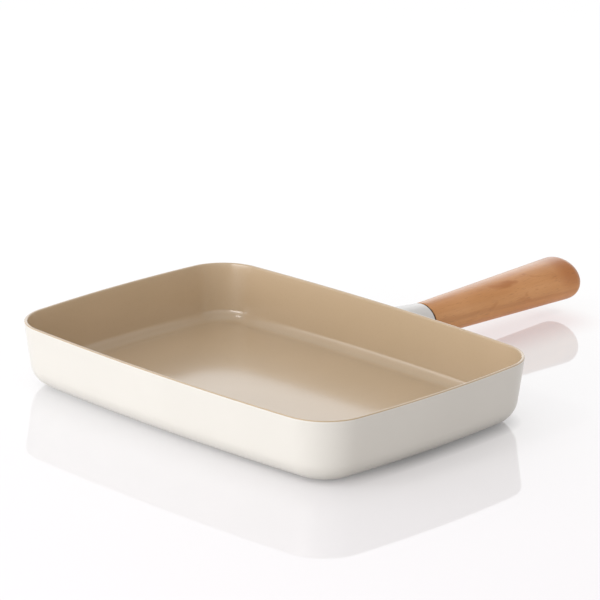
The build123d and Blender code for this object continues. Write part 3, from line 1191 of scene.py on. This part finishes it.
@dataclass
class WallSection:
    """Section through the pan's wall, measured outwards from the rim's outline.

    Attributes:
        height: Height of the rim.
        draft: Lean of the wall, in radians.
        land_height: How far the outer coat stays above the table.
        land_inset: Where the outer coat ends under the base.
        base_radius: Rounding under the base.
        floor_radius: Rounding inside, between wall and floor.
        floor_height: Height of the cooking floor.
        metal: Thickness of the metal wall.
        lacquer: Thickness of the outer coat.
        lining: Thickness of the inner coat.
        lip: How far the lining reaches down outside.
        rim_share: Rounding of the rim, as a share of the wall.
        wall_shares: Heights of the wall's points, as shares of the rim's height.
        base_steps: Chords of the rounding under the base.
        floor_steps: Chords of the rounding inside.
        rim_steps: Chords of the rim's inner rounding.
        edge_steps: Chords of its outer rounding, above or below the coats' meeting line.
    """

    height: float
    draft: float = radians(7.7)
    land_height: float = 0.6 * MM
    land_inset: float = 20.6 * MM
    base_radius: float = 15.5 * MM
    floor_radius: float = 8.0 * MM
    floor_height: float = 5.3 * MM
    metal: float = 1.6 * MM
    lacquer: float = 0.2 * MM
    lining: float = 0.3 * MM
    lip: float = 0.55 * MM
    rim_share: float = 0.43
    wall_shares: tuple[float, ...] = (0.5, 0.7, 0.9)
    base_steps: int = 26
    floor_steps: int = 20
    rim_steps: int = 10
    edge_steps: int = 8

    def wall_point(self, depth: float, height: float) -> Point:
        """Return the point at a depth inside the drafted wall, outwards and upwards."""
        inset = depth / cos(self.draft) + (self.height - height) * tan(self.draft)
        return -inset, height

    def corner(self, depth: float, level: float, radius: float, steps: int) -> list[Point]:
        """Return the rounding from a level face up to the wall's face at a depth."""
        x, z = self.wall_point(depth + radius, level + radius)
        return arc_points((x, z), radius, -RIGHT_ANGLE, -self.draft, steps)

    def rim_inside(self, depth: float, thickness: float, top: float) -> list[Point]:
        """Return the rim's rounding on the inside, from the wall to the top.

        Args:
            depth: Depth of the wall's outer face.
            thickness: Thickness of the wall.
            top: Height of the rim.

        Returns:
            The points.
        """
        radius = self.rim_share * thickness
        centre = self.wall_point(depth + thickness - radius, top - radius)
        return arc_points(centre, radius, pi - self.draft, RIGHT_ANGLE, self.rim_steps)

    def rim_outside(self, depth: float, thickness: float, top: float, above: bool) -> list[Point]:
        """Return the rim's rounding on the outside, above or below the coats' meeting line.

        Args:
            depth: Depth of the wall's outer face.
            thickness: Thickness of the wall.
            top: Height of the rim.
            above: Whether it is the part above the line, downwards, or below it, upwards.

        Returns:
            The points.
        """
        radius = self.rim_share * thickness
        centre = self.wall_point(depth + radius, top - radius)
        meeting = asin((self.height - self.lip - centre[1]) / radius)
        start = RIGHT_ANGLE if above else -self.draft
        return arc_points(centre, radius, start, meeting, self.edge_steps)

    def wall_face(self, depth: float) -> list[Point]:
        """Return the wall's points between its roundings, at a depth."""
        return [self.wall_point(depth, self.height * share) for share in self.wall_shares]

    def outer_face(self, depth: float, thickness: float, top: float) -> list[Point]:
        """Return one face of the outer coat, from under the base up to its edge.

        Args:
            depth: Depth of the face.
            thickness: Thickness of the wall inside it.
            top: Height of that wall's rim.

        Returns:
            The points.
        """
        level = self.land_height + depth
        points = [(-self.land_inset, level)]
        points += self.corner(depth, level, self.base_radius - depth, self.base_steps)
        return points + self.wall_face(depth) + self.rim_outside(depth, thickness, top, False)

    def lacquer_profile(self) -> list[Point]:
        """Return the closed section of the outer coat."""
        full = self.lacquer + self.metal + self.lining
        outside = self.outer_face(0.0, full, self.height)
        inside = self.outer_face(self.lacquer, self.metal, self.height - self.lining)
        return outside + inside[::-1]

    def lining_profile(self, floor_inset: float) -> list[Point]:
        """Return the section of the lining, from the middle of its floor and back to it.

        Args:
            floor_inset: Where the flat floor starts, inwards from the rim's outline.

        Returns:
            The points.
        """
        wall = self.lacquer + self.metal
        full = wall + self.lining
        under = self.floor_height - self.lining
        metal_top = self.height - self.lining
        points = [(-floor_inset, self.floor_height)]
        points += self.corner(full, self.floor_height, self.floor_radius, self.floor_steps)
        points += self.wall_face(full) + self.rim_inside(0.0, full, self.height)
        points += self.rim_outside(0.0, full, self.height, above=True)
        points += self.rim_outside(self.lacquer, self.metal, metal_top, above=True)[::-1]
        points += self.rim_inside(self.lacquer, self.metal, metal_top)[::-1]
        below = self.corner(wall, under, self.floor_radius + self.lining, self.floor_steps)
        below += self.wall_face(wall)
        return points + below[::-1] + [(-floor_inset, under)]

    def outer_inset(self, height: float) -> float:
        """Return how far the outer face stands inside the rim's outline.

        Args:
            height: Height of the place on the face.

        Returns:
            The distance.
        """
        x, z = self.wall_point(self.base_radius, self.land_height + self.base_radius)
        drop = min(z - height, self.base_radius)
        if drop > self.base_radius * sin(self.draft):
            return -x - sqrt(self.base_radius**2 - drop**2)
        return -self.wall_point(0.0, height)[0]


@dataclass
class RimOutline:
    """Bowed rectangle with round corners that the rim follows.

    Attributes:
        half_length: Half of its length.
        half_width: Half of its width.
        side_bow: How far each side bows out.
        corner_radius: Radius of its corners.
        arc_steps: Chords of each arc before the outline is divided evenly.
    """

    half_length: float = 140 * MM
    half_width: float = 96.75 * MM
    side_bow: float = 5.3 * MM
    corner_radius: float = 30.4 * MM
    arc_steps: int = 48

    def side_radii(self) -> tuple[float, float]:
        """Return the radii of the long and the short sides."""
        x = self.half_length - self.side_bow
        y = self.half_width - self.side_bow
        bow = self.side_bow
        return (x**2 + bow**2) / (2 * bow), (y**2 + bow**2) / (2 * bow)

    def corner_centre(self) -> Vector:
        """Return the centre of the corner on the side of +X and +Y."""
        long_radius, short_radius = self.side_radii()
        x_centre = short_radius - self.half_length
        y_centre = long_radius - self.half_width
        span = hypot(x_centre, y_centre)
        long_reach = long_radius - self.corner_radius
        short_reach = short_radius - self.corner_radius
        along = (long_reach**2 - short_reach**2 + span**2) / (2 * span)
        aside = sqrt(long_reach**2 - along**2)
        x = (y_centre * aside - x_centre * along) / span
        y = (x_centre * aside + y_centre * along) / span - y_centre
        return Vector((x, y))

    def side_place(self, x: float, inset: float) -> float:
        """Return how far a long side, set in, stands from the pan's middle at a place."""
        radius = self.side_radii()[0]
        return sqrt((radius - inset) ** 2 - x**2) - (radius - self.half_width)

    def quarter(self) -> list[tuple[Vector, Vector]]:
        """Return the first quarter's knots, each with the centre of the arc that follows it."""
        long_radius, short_radius = self.side_radii()
        corner = self.corner_centre()
        short_centre = Vector((self.half_length - short_radius, 0))
        long_centre = Vector((0, self.half_width - long_radius))
        first = short_centre + (corner - short_centre).normalized() * short_radius
        second = long_centre + (corner - long_centre).normalized() * long_radius
        middle = Vector((self.half_length, 0))
        return [(middle, short_centre), (first, corner), (second, long_centre)]

    def knots(self) -> list[tuple[Vector, Vector]]:
        """Return all knots, anticlockwise, each with the centre of the arc that follows it."""
        first = self.quarter()
        top = Vector((0, self.half_width))
        flip = Vector((-1, 1))
        second = [(top, first[2][1])]
        second += [(first[i][0] * flip, first[i - 1][1] * flip) for i in (2, 1)]
        half = first + second
        return half + [(-point, -centre) for point, centre in half]

    def path(self) -> bpy.types.Object:
        """Return the outline as a closed curve in which every arc is one span."""
        knots = self.knots()
        spline = new_spline("rim_path", "BEZIER", True, self.arc_steps)
        spline.bezier_points.add(len(knots) - 1)
        for i, (point, centre) in enumerate(knots):
            target = knots[(i + 1) % len(knots)][0]
            start, end = point - centre, target - centre
            reach = 4 / 3 * tan(start.angle(end) / 4)
            knot = spline.bezier_points[i]
            follower = spline.bezier_points[(i + 1) % len(knots)]
            for handled in (knot, follower):
                handled.handle_left_type = handled.handle_right_type = "FREE"
            knot.co = (*point, 0)
            knot.handle_right = (*(point + Vector((-start.y, start.x)) * reach), 0)
            follower.handle_left = (*(target - Vector((-end.y, end.x)) * reach), 0)
        return new_object("rim_path", spline.id_data)


@dataclass(kw_only=True)
class Assembly:
    """Part of the pan that makes its pieces and dresses the CAD nodes that stay.

    Attributes:
        trees: Geometry Nodes trees.
        rack: Finishes.
    """

    trees: FormTrees
    rack: FinishRack


@dataclass(kw_only=True)
class PanShell(Assembly):
    """The tray: its metal body, its two coats and the plate in its base.

    Attributes:
        section: Section of its wall.
        outline: Outline of its rim.
        floor_inset: Where the flat cooking floor starts, inwards from the rim's outline.
        step: Distance between the sections along the rim.
        plate_corner_radius: Corners of the base plate.
        hole_radius: Holes of the base plate.
        hole_pitch: Distance between their centres.
        columns: Holes along the plate.
        rows: Holes across it.
    """

    section: WallSection
    outline: RimOutline
    floor_inset: float = 24 * MM
    step: float = 1.7 * MM
    plate_corner_radius: float = 14 * MM
    hole_radius: float = 2.5 * MM
    hole_pitch: float = 12.5 * MM
    columns: int = 16
    rows: int = 10

    def skin(
        self, name: str, profile: list[Point], closed: bool, material: bpy.types.Material
    ) -> bpy.types.Object:
        """Sweep a section round the rim.

        Args:
            name: Name of the piece.
            profile: Section, outwards and upwards.
            closed: Whether the section closes on itself.
            material: Finish of the piece.

        Returns:
            The piece.
        """
        path = self.outline.path()
        line = line_object(f"{name}_section", [(x, -z) for x, z in profile], closed)
        values = {"Path": path, "Profile": line, "Step": self.step, "Finish": material}
        piece = run_tree(name, self.trees.sweep, values)
        tidy_mesh(piece)
        discard(path, line)
        return piece

    def build(self) -> None:
        """Make the coats and the base plate."""
        profile = self.section.lacquer_profile()
        lacquer = self.skin("lacquer_coat", profile, True, self.rack.lacquer)
        install(lacquer, Slot.LACQUER, "outer_lacquer")
        profile = self.section.lining_profile(self.floor_inset)
        lining = self.skin("cooking_surface", profile, False, self.rack.lining)
        install(lining, Slot.LINING, "inner_lining")
        low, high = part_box("base_plate")
        values = {
            "Length": high.x - low.x,
            "Width": high.y - low.y,
            "Corner Radius": self.plate_corner_radius,
            "Thickness": high.z - low.z,
            "Hole Radius": self.hole_radius,
            "Field Length": self.hole_pitch * (self.columns - 1),
            "Field Width": self.hole_pitch * (self.rows - 1),
            "Columns": self.columns,
            "Rows": self.rows,
            "Finish": self.rack.metals[Metal.PLATE],
        }
        plate = run_tree("induction_plate", self.trees.plate, values)
        tidy_mesh(plate)
        install(plate, Slot.PLATE, "base_plate")

    def dress(self) -> None:
        """Give the metal body its finish."""
        dress_node("pan_body", self.rack.metals[Metal.ALUMINIUM])


@dataclass(kw_only=True)
class Collar(Assembly):
    """The metal collar between the wall and the wood, with what it hides.

    Attributes:
        section: Section of the pan's wall.
        outline: Outline of the rim.
        axis_height: Height of the handle's axis.
        root_place: Where the axis meets the wall, along Y.
        end_place: Where the collar ends.
        root_width: Width at the wall.
        root_height: Height at the wall.
        end_width: Width at the end.
        end_height: Height at the end.
        wall: Thickness of the collar.
        rounding: Rounding of its end.
        sink: How far it is let into the coat.
        segments: Segments round it.
        seal_width: Width of the seal ring, across its thickness.
        seal_rounding: Rounding of the seal's outer edges.
        seal_step: Distance between its sections.
        seal_steps: Chords of its rounding.
        stations: Sections along the collar.
        end_steps: Chords of the rounding of its end.
        search_rounds: Rounds in which the place where it meets the wall settles.
    """

    section: WallSection
    outline: RimOutline
    axis_height: float
    root_place: float
    end_place: float
    root_width: float = 35.0 * MM
    root_height: float = 29.0 * MM
    end_width: float = 24.7 * MM
    end_height: float = 22.1 * MM
    wall: float = 2.2 * MM
    rounding: float = 0.9 * MM
    sink: float = 0.05 * MM
    segments: int = 144
    seal_width: float = 1.85 * MM
    seal_rounding: float = 0.25 * MM
    seal_step: float = 0.5 * MM
    seal_steps: int = 5
    stations: int = 12
    end_steps: int = 8
    search_rounds: int = 6

    def angles(self) -> list[float]:
        """Return the angles of the segments."""
        return [2 * pi * step / self.segments for step in range(self.segments)]

    def half_sizes(self, y: float, depth: float) -> Point:
        """Return the half width and half height at a place, at a depth inside the collar.

        Args:
            y: Place along the handle.
            depth: Distance inside the outer face.

        Returns:
            The two half sizes.
        """
        share = (y - self.root_place) / (self.end_place - self.root_place)
        width = self.root_width + (self.end_width - self.root_width) * share
        height = self.root_height + (self.end_height - self.root_height) * share
        return width / 2 - depth, height / 2 - depth

    def spot(self, angle: float, y: float, depth: float) -> Vector:
        """Return the point at an angle round the axis, a place along it and a depth inside."""
        half_width, half_height = self.half_sizes(y, depth)
        return Vector((half_width * cos(angle), y, self.axis_height + half_height * sin(angle)))

    def wall_meeting(self, angle: float, depth: float) -> float:
        """Return where the collar meets the pan's wall.

        Args:
            angle: Angle round the axis.
            depth: Distance inside the outer face.

        Returns:
            The place along Y.
        """
        y = self.root_place
        for _ in range(self.search_rounds):
            point = self.spot(angle, y, depth)
            y = self.outline.side_place(point.x, self.section.outer_inset(point.z))
        return y - self.sink

    def column(self, angle: float) -> list[Vector]:
        """Return the collar's closed section at an angle round its axis.

        Args:
            angle: Angle round the axis.

        Returns:
            The points, out along the outside and back along the bore.
        """
        outer_start = self.wall_meeting(angle, 0.0)
        inner_start = self.wall_meeting(angle, self.wall)
        straight_end = self.end_place - self.rounding
        shares = [step / self.stations for step in range(self.stations + 1)]
        outside = [outer_start + (straight_end - outer_start) * share for share in shares]
        points = [self.spot(angle, y, 0.0) for y in outside]
        centre = (straight_end, self.rounding)
        end = arc_points(centre, self.rounding, -RIGHT_ANGLE, 0.0, self.end_steps)[1:]
        points += [self.spot(angle, y, depth) for y, depth in end]
        inside = [self.end_place + (inner_start - self.end_place) * share for share in shares]
        return points + [self.spot(angle, y, self.wall) for y in inside]

    def build(self) -> None:
        """Make the collar and the seal ring."""
        columns = [self.column(angle) for angle in self.angles()]
        count = len(columns[0])
        faces = []
        for i in range(self.segments):
            j = (i + 1) % self.segments
            for k in range(count):
                m = (k + 1) % count
                faces.append((i * count + k, i * count + m, j * count + m, j * count + k))
        mesh = bpy.data.meshes.new("lacquered_collar")
        mesh.from_pydata([point for column in columns for point in column], [], faces)
        mesh.materials.append(self.rack.collar)
        collar = new_object("lacquered_collar", mesh)
        tidy_mesh(collar)
        install(collar, Slot.COLLAR, "handle_ferrule")
        self.build_seal()

    def build_seal(self) -> None:
        """Make the seal ring, with rounded outer edges."""
        low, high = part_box("seal_ring")
        half_width, half_height = (high.x - low.x) / 2, (high.z - low.z) / 2
        thickness, radius = high.y - low.y, self.seal_rounding
        ring = [(half_width * cos(angle), half_height * sin(angle)) for angle in self.angles()]
        path = line_object("seal_path", ring, True)
        steps = self.seal_steps
        profile = arc_points((-radius, radius), radius, -RIGHT_ANGLE, 0.0, steps)
        profile += arc_points((-radius, thickness - radius), radius, 0.0, RIGHT_ANGLE, steps)
        profile += [(-self.seal_width, thickness), (-self.seal_width, 0.0)]
        line = line_object("seal_section", profile, True)
        values = {"Path": path, "Profile": line, "Step": self.seal_step, "Finish": self.rack.seal}
        seal = run_tree("silicone_seal", self.trees.sweep, values)
        turn = Matrix.Rotation(RIGHT_ANGLE, 4, "X")
        place = Matrix.Translation((0, low.y, (low.z + high.z) / 2))
        tidy_mesh(seal, place @ turn)
        discard(path, line)
        install(seal, Slot.SEAL, "seal_ring")

    def dress(self) -> None:
        """Give the hidden bracket and its fasteners their finishes."""
        dress_node("weld_studs", self.rack.metals[Metal.STUD])
        dress_node("handle_bracket", self.rack.metals[Metal.BRACKET])
        for name in ("stud_washers", "stud_nuts"):
            dress_node(name, self.rack.metals[Metal.FASTENER])


@dataclass(kw_only=True)
class WoodenHandle(Assembly):
    """The wooden grip, with the screw that holds it from below.

    Attributes:
        axis_height: Height of the handle's axis.
        shoulder: Where the grip starts, along Y.
        tip: Where it ends.
        start_width: Width at the shoulder.
        start_height: Height at the shoulder.
        end_width: Width at the tip.
        end_height: Height at the tip.
        tip_depth: Length of the round tip.
        rounding: Rounding of the shoulder.
        tenon_half_width: Half width of the tenon.
        tenon_length: Length of the tenon.
        clearance: Room round the tang, the nut and the screw.
        tang_width: Width of the tang.
        tang_thickness: Thickness of the tang.
        shank_radius: Radius of the screw's hole.
        segments: Segments round the grip.
        stations: Sections along its straight part.
        tip_steps: Sections of the round tip.
        shoulder_steps: Chords of the shoulder's rounding.
        bore_segments: Segments round each bore.
    """

    axis_height: float
    shoulder: float
    tip: float
    start_width: float = 24.7 * MM
    start_height: float = 22.1 * MM
    end_width: float = 37.2 * MM
    end_height: float = 27.6 * MM
    tip_depth: float = 10.5 * MM
    rounding: float = 0.6 * MM
    tenon_half_width: float = 9.6 * MM
    tenon_length: float = 14 * MM
    clearance: float = 0.25 * MM
    tang_width: float = 14 * MM
    tang_thickness: float = 2.5 * MM
    shank_radius: float = 2.75 * MM
    segments: int = 144
    stations: int = 40
    tip_steps: int = 24
    shoulder_steps: int = 6
    bore_segments: int = 48

    def straight(self) -> float:
        """Return the length of the grip without its round tip."""
        return self.tip - self.shoulder - self.tip_depth

    def half_width(self, y: float) -> float:
        """Return the half width at a distance from the shoulder, the round tip left out."""
        growth = (self.end_width - self.start_width) * y / self.straight()
        return (self.start_width + growth) / 2

    def axis(self) -> bpy.types.Object:
        """Return the grip's axis, with its half width at each point as the radius."""
        straight = self.straight()
        nudge = CLOSE_POINTS * 4
        line = [(-self.tenon_length - nudge, 0.0), (-self.tenon_length, self.tenon_half_width)]
        line += [(-nudge, self.tenon_half_width)]
        centre = (self.rounding, self.half_width(0.0) - self.rounding)
        line += arc_points(centre, self.rounding, pi, RIGHT_ANGLE, self.shoulder_steps)
        for step in range(1, self.stations + 1):
            y = self.rounding + (straight - self.rounding) * step / self.stations
            line.append((y, self.half_width(y)))
        for step in range(1, self.tip_steps + 1):
            angle = RIGHT_ANGLE * step / self.tip_steps
            y = straight + self.tip_depth * sin(angle)
            line.append((y, self.half_width(y) * cos(angle)))
        points = [(y, 0.0) for y, _ in line]
        return line_object("grip_axis", points, False, [radius for _, radius in line])

    def bore(self) -> bpy.types.Object:
        """Return the room for the tang, the nut and the screw, as one cutter."""
        tang_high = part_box("handle_bracket")[1]
        nut_low, nut_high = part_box("clinch_nut")
        washer_low, washer_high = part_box("screw_washer")
        screw_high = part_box("handle_screw")[1]
        gap = self.clearance
        screw_place = (washer_low.y + washer_high.y) / 2
        nut_radius = (nut_high.x - nut_low.x) / 2 + gap
        start = self.shoulder - self.tenon_length - 2 * gap
        roof = screw_high.z + gap
        tang_half = self.tang_width / 2 + gap
        floor = nut_low.z - self.tang_thickness - gap
        ceiling = nut_low.z + gap
        cutter = bmesh.new()
        self.block(cutter, (-tang_half, start, floor), (tang_half, tang_high.y + gap, ceiling))
        self.block(cutter, (-nut_radius, start, self.axis_height), (nut_radius, screw_place, roof))
        self.drum(cutter, nut_radius, screw_place, self.axis_height, roof)
        self.drum(cutter, self.shank_radius, screw_place, 0.0, self.axis_height)
        seat_radius = (washer_high.x - washer_low.x) / 2 + gap
        self.drum(cutter, seat_radius, screw_place, 0.0, washer_high.z)
        return bmesh_object("handle_bore", cutter)

    def block(
        self, shape: bmesh.types.BMesh, low: tuple[float, ...], high: tuple[float, ...]
    ) -> None:
        """Add a block to a shape.

        Args:
            shape: Shape that gets the block.
            low: Lowest corner.
            high: Highest corner.
        """
        size = [b - a for a, b in zip(low, high)]
        middle = [(a + b) / 2 for a, b in zip(low, high)]
        place = Matrix.Translation(middle) @ Matrix.Diagonal((*size, 1))
        bmesh.ops.create_cube(shape, size=1, matrix=place)

    def drum(
        self, shape: bmesh.types.BMesh, radius: float, y: float, low: float, high: float
    ) -> None:
        """Add an upright drum to a shape.

        Args:
            shape: Shape that gets the drum.
            radius: Its radius.
            y: Its place along the handle.
            low: Its lower end.
            high: Its upper end.
        """
        bmesh.ops.create_cone(
            shape,
            cap_ends=True,
            segments=self.bore_segments,
            radius1=radius,
            radius2=radius,
            depth=high - low,
            matrix=Matrix.Translation((0, y, (low + high) / 2)),
        )

    def build(self) -> None:
        """Make the grip and bore it."""
        axis = self.axis()
        values = {
            "Axis": axis,
            "Segments": self.segments,
            "Length": self.straight(),
            "Start Width": self.start_width,
            "End Width": self.end_width,
            "Start Height": self.start_height,
            "End Height": self.end_height,
            "Finish": self.rack.wood,
        }
        grip = run_tree("wooden_grip", self.trees.oval, values)
        turn = Matrix.Rotation(RIGHT_ANGLE, 4, "Z")
        tidy_mesh(grip, Matrix.Translation((0, self.shoulder, self.axis_height)) @ turn)
        bore = self.bore()
        cut = grip.modifiers.new("bore", "BOOLEAN")
        cut.operation = "DIFFERENCE"
        cut.solver = "EXACT"
        cut.use_self = True
        cut.object = bore
        settle(grip)
        grip.data.set_sharp_from_angle(angle=CREASE_ANGLE)
        discard(axis, bore)
        install(grip, Slot.WOOD, "wooden_handle")

    def dress(self) -> None:
        """Give the screw and what goes with it their finish."""
        for name in ("clinch_nut", "screw_washer", "screw_spring_washer", "handle_screw"):
            dress_node(name, self.rack.metals[Metal.FASTENER])


def away(azimuth: float, elevation: float) -> Vector:
    """Return the unit vector from the pan towards a direction, azimuth 0 at -Y and 90 at +X."""
    flat = cos(elevation)
    return Vector((sin(azimuth) * flat, -cos(azimuth) * flat, sin(elevation)))


@dataclass
class SoftLight:
    """One soft light round the pan.

    Attributes:
        name: Name of the light.
        azimuth: Direction that it stands in, 0 at -Y and 90 at +X, in degrees.
        elevation: Height over the horizon, in degrees.
        distance: Distance from the pan.
        size: Width and height of the light.
        level: How bright a white surface that faces it gets.
    """

    name: str
    azimuth: float
    elevation: float
    distance: float
    size: Point
    level: float

    def build(self) -> None:
        """Hang the light and aim it at the pan."""
        lamp = bpy.data.lights.new(self.name, "AREA")
        lamp.shape = "RECTANGLE"
        lamp.size, lamp.size_y = self.size
        lamp.energy = self.level * (pi * self.distance) ** 2
        light = new_object(self.name, lamp)
        direction = away(radians(self.azimuth), radians(self.elevation))
        light.location = direction * self.distance
        light.visible_camera = False
        light.rotation_mode = "QUATERNION"
        light.rotation_quaternion = direction.to_track_quat("Z", "Y")


@dataclass
class Studio:
    """Table, background, lights and camera.

    Attributes:
        handle_tip: Where the handle ends, along Y.
        camera_azimuth: Direction of the camera, in radians.
        camera_elevation: Height of the camera over the horizon, in radians.
        camera_roll: Turn of the camera about its line of sight.
        camera_distance: Distance from the middle of the base.
        camera_lens: Focal length, in millimetres.
        sensor_width: Width of the sensor, in millimetres.
        aim: How far the picture's middle lies from the pan's base, rightwards and upwards.
        table_radius: Radius of the table.
        table_segments: Segments round it.
        sky_level: How bright the surroundings light the pan.
        dark_azimuth: Direction in which they are darkest.
        dark_side: Share of that darkness, over the cosine of the angle from there.
        dark_level: How bright they are there, as a share.
        dark_colour: Colour of their light there.
        ceiling: Brightness in reflections, over the sine of the height over the horizon.
    """

    handle_tip: float
    camera_azimuth: float = 0.7816
    camera_elevation: float = 0.3110
    camera_roll: float = 0.0079
    camera_distance: float = 2.3039
    camera_lens: float = 229.02
    sensor_width: float = 36.0
    aim: Point = (0.01748, 0.06171)
    table_radius: float = 12.0
    table_segments: int = 64
    sky_level: float = 0.88
    dark_azimuth: float = radians(135)
    dark_side: Fade = (0.0, 0.7, 0.0, 1.0)
    dark_level: float = 0.82
    dark_colour: Colour = (1.0, 0.95, 0.91, 1)
    ceiling: Fade = (0.35, 0.7, 1.0, 0.55)

    def build(self) -> None:
        """Build the stage."""
        self.place_camera()
        self.lay_table()
        self.paint_sky()
        for light in (
            SoftLight("front_light", azimuth=2, elevation=12, distance=2.3, size=(1.6, 0.8), level=0.405),
            SoftLight("side_light", azimuth=-45, elevation=10, distance=3, size=(2.6, 1.1), level=0.11),
            SoftLight("key_light", azimuth=-23, elevation=49, distance=2, size=(0.4, 0.3), level=0.07),
            SoftLight("back_light", azimuth=225, elevation=18, distance=3, size=(2.8, 1.4), level=0.052),
        ):
            light.build()
        bpy.context.scene.view_settings.view_transform = "Standard"

    def place_camera(self) -> None:
        """Set the camera where the photograph was taken from."""
        back = away(self.camera_azimuth, self.camera_elevation)
        level = Vector((cos(self.camera_azimuth), sin(self.camera_azimuth), 0))
        steep = back.cross(level)
        right = level * cos(self.camera_roll) + steep * sin(self.camera_roll)
        up = back.cross(right)
        place = back * self.camera_distance + right * self.aim[0] + up * self.aim[1]
        lens = bpy.data.cameras.new("camera")
        lens.lens = self.camera_lens
        lens.sensor_width = self.sensor_width
        lens.clip_end = 4 * self.table_radius
        camera = new_object("camera", lens)
        turn = Matrix((right, up, back)).transposed().to_4x4()
        camera.matrix_world = Matrix.Translation(place) @ turn
        bpy.context.scene.camera = camera

    def lay_table(self) -> None:
        """Lay the glossy table."""
        shape = bmesh.new()
        segments = self.table_segments
        bmesh.ops.create_circle(shape, cap_ends=True, segments=segments, radius=self.table_radius)
        table = bmesh_object("table", shape)
        finish = GlossyTable(
            direction=tuple(-away(self.camera_azimuth, 0.0)),
            shade_direction=tuple(away(self.dark_azimuth, 0.0)),
            handle_tip=self.handle_tip,
        )
        table.data.materials.append(finish.build())

    def paint_sky(self) -> None:
        """Make the surroundings white to the camera and in reflections, and softer as a light."""
        world = bpy.data.worlds.new("surroundings")
        world.use_nodes = True
        bpy.context.scene.world = world
        canvas = NodeCanvas(world.node_tree)
        sky = canvas.tree.nodes["Background"]
        path = canvas.add("ShaderNodeLightPath").outputs
        reflected = canvas.math("MAXIMUM", path["Is Glossy Ray"], path["Is Transmission Ray"])
        level = canvas.ramp(reflected, 0.0, 1.0, self.sky_level, 1.0)
        heading = canvas.add("ShaderNodeTexCoord").outputs["Generated"]
        towards = canvas.reach(heading, away(self.dark_azimuth, 0.0))
        side = canvas.ramp(towards, *self.dark_side)
        level = canvas.times(level, canvas.ramp(side, 0.0, 1.0, 1.0, self.dark_level))
        warmth = canvas.times(side, canvas.math("SUBTRACT", 1.0, path["Is Camera Ray"]))
        canvas.feed(sky.inputs["Color"], canvas.mix(warmth, WHITE, self.dark_colour))
        height = canvas.axes(heading)["Z"]
        ceiling = canvas.ramp(height, *self.ceiling)
        level = canvas.times(level, canvas.ramp(reflected, 0.0, 1.0, 1.0, ceiling))
        canvas.feed(sky.inputs["Strength"], canvas.math("MAXIMUM", level, path["Is Camera Ray"]))


def main() -> None:
    """Build the pan and its studio."""
    logging.basicConfig(level=logging.INFO, format="%(name)s %(message)s")
    rim_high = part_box("inner_lining")[1]
    collar_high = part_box("handle_ferrule")[1]
    wood_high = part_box("wooden_handle")[1]
    seal_low, seal_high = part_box("seal_ring")
    shared = {"trees": FormTrees(), "rack": FinishRack(tip=wood_high.y)}
    section = WallSection(height=rim_high.z)
    outline = RimOutline()
    axis_height = (seal_low.z + seal_high.z) / 2
    root_place = outline.side_place(0.0, section.outer_inset(axis_height))
    parts = (
        PanShell(section=section, outline=outline, **shared),
        Collar(
            section=section,
            outline=outline,
            axis_height=axis_height,
            root_place=root_place,
            end_place=collar_high.y,
            **shared,
        ),
        WoodenHandle(axis_height=axis_height, shoulder=seal_high.y, tip=wood_high.y, **shared),
    )
    for part in parts:
        part.build()
        part.dress()
    Studio(handle_tip=wood_high.y).build()


if __name__ == "__main__":
    main()
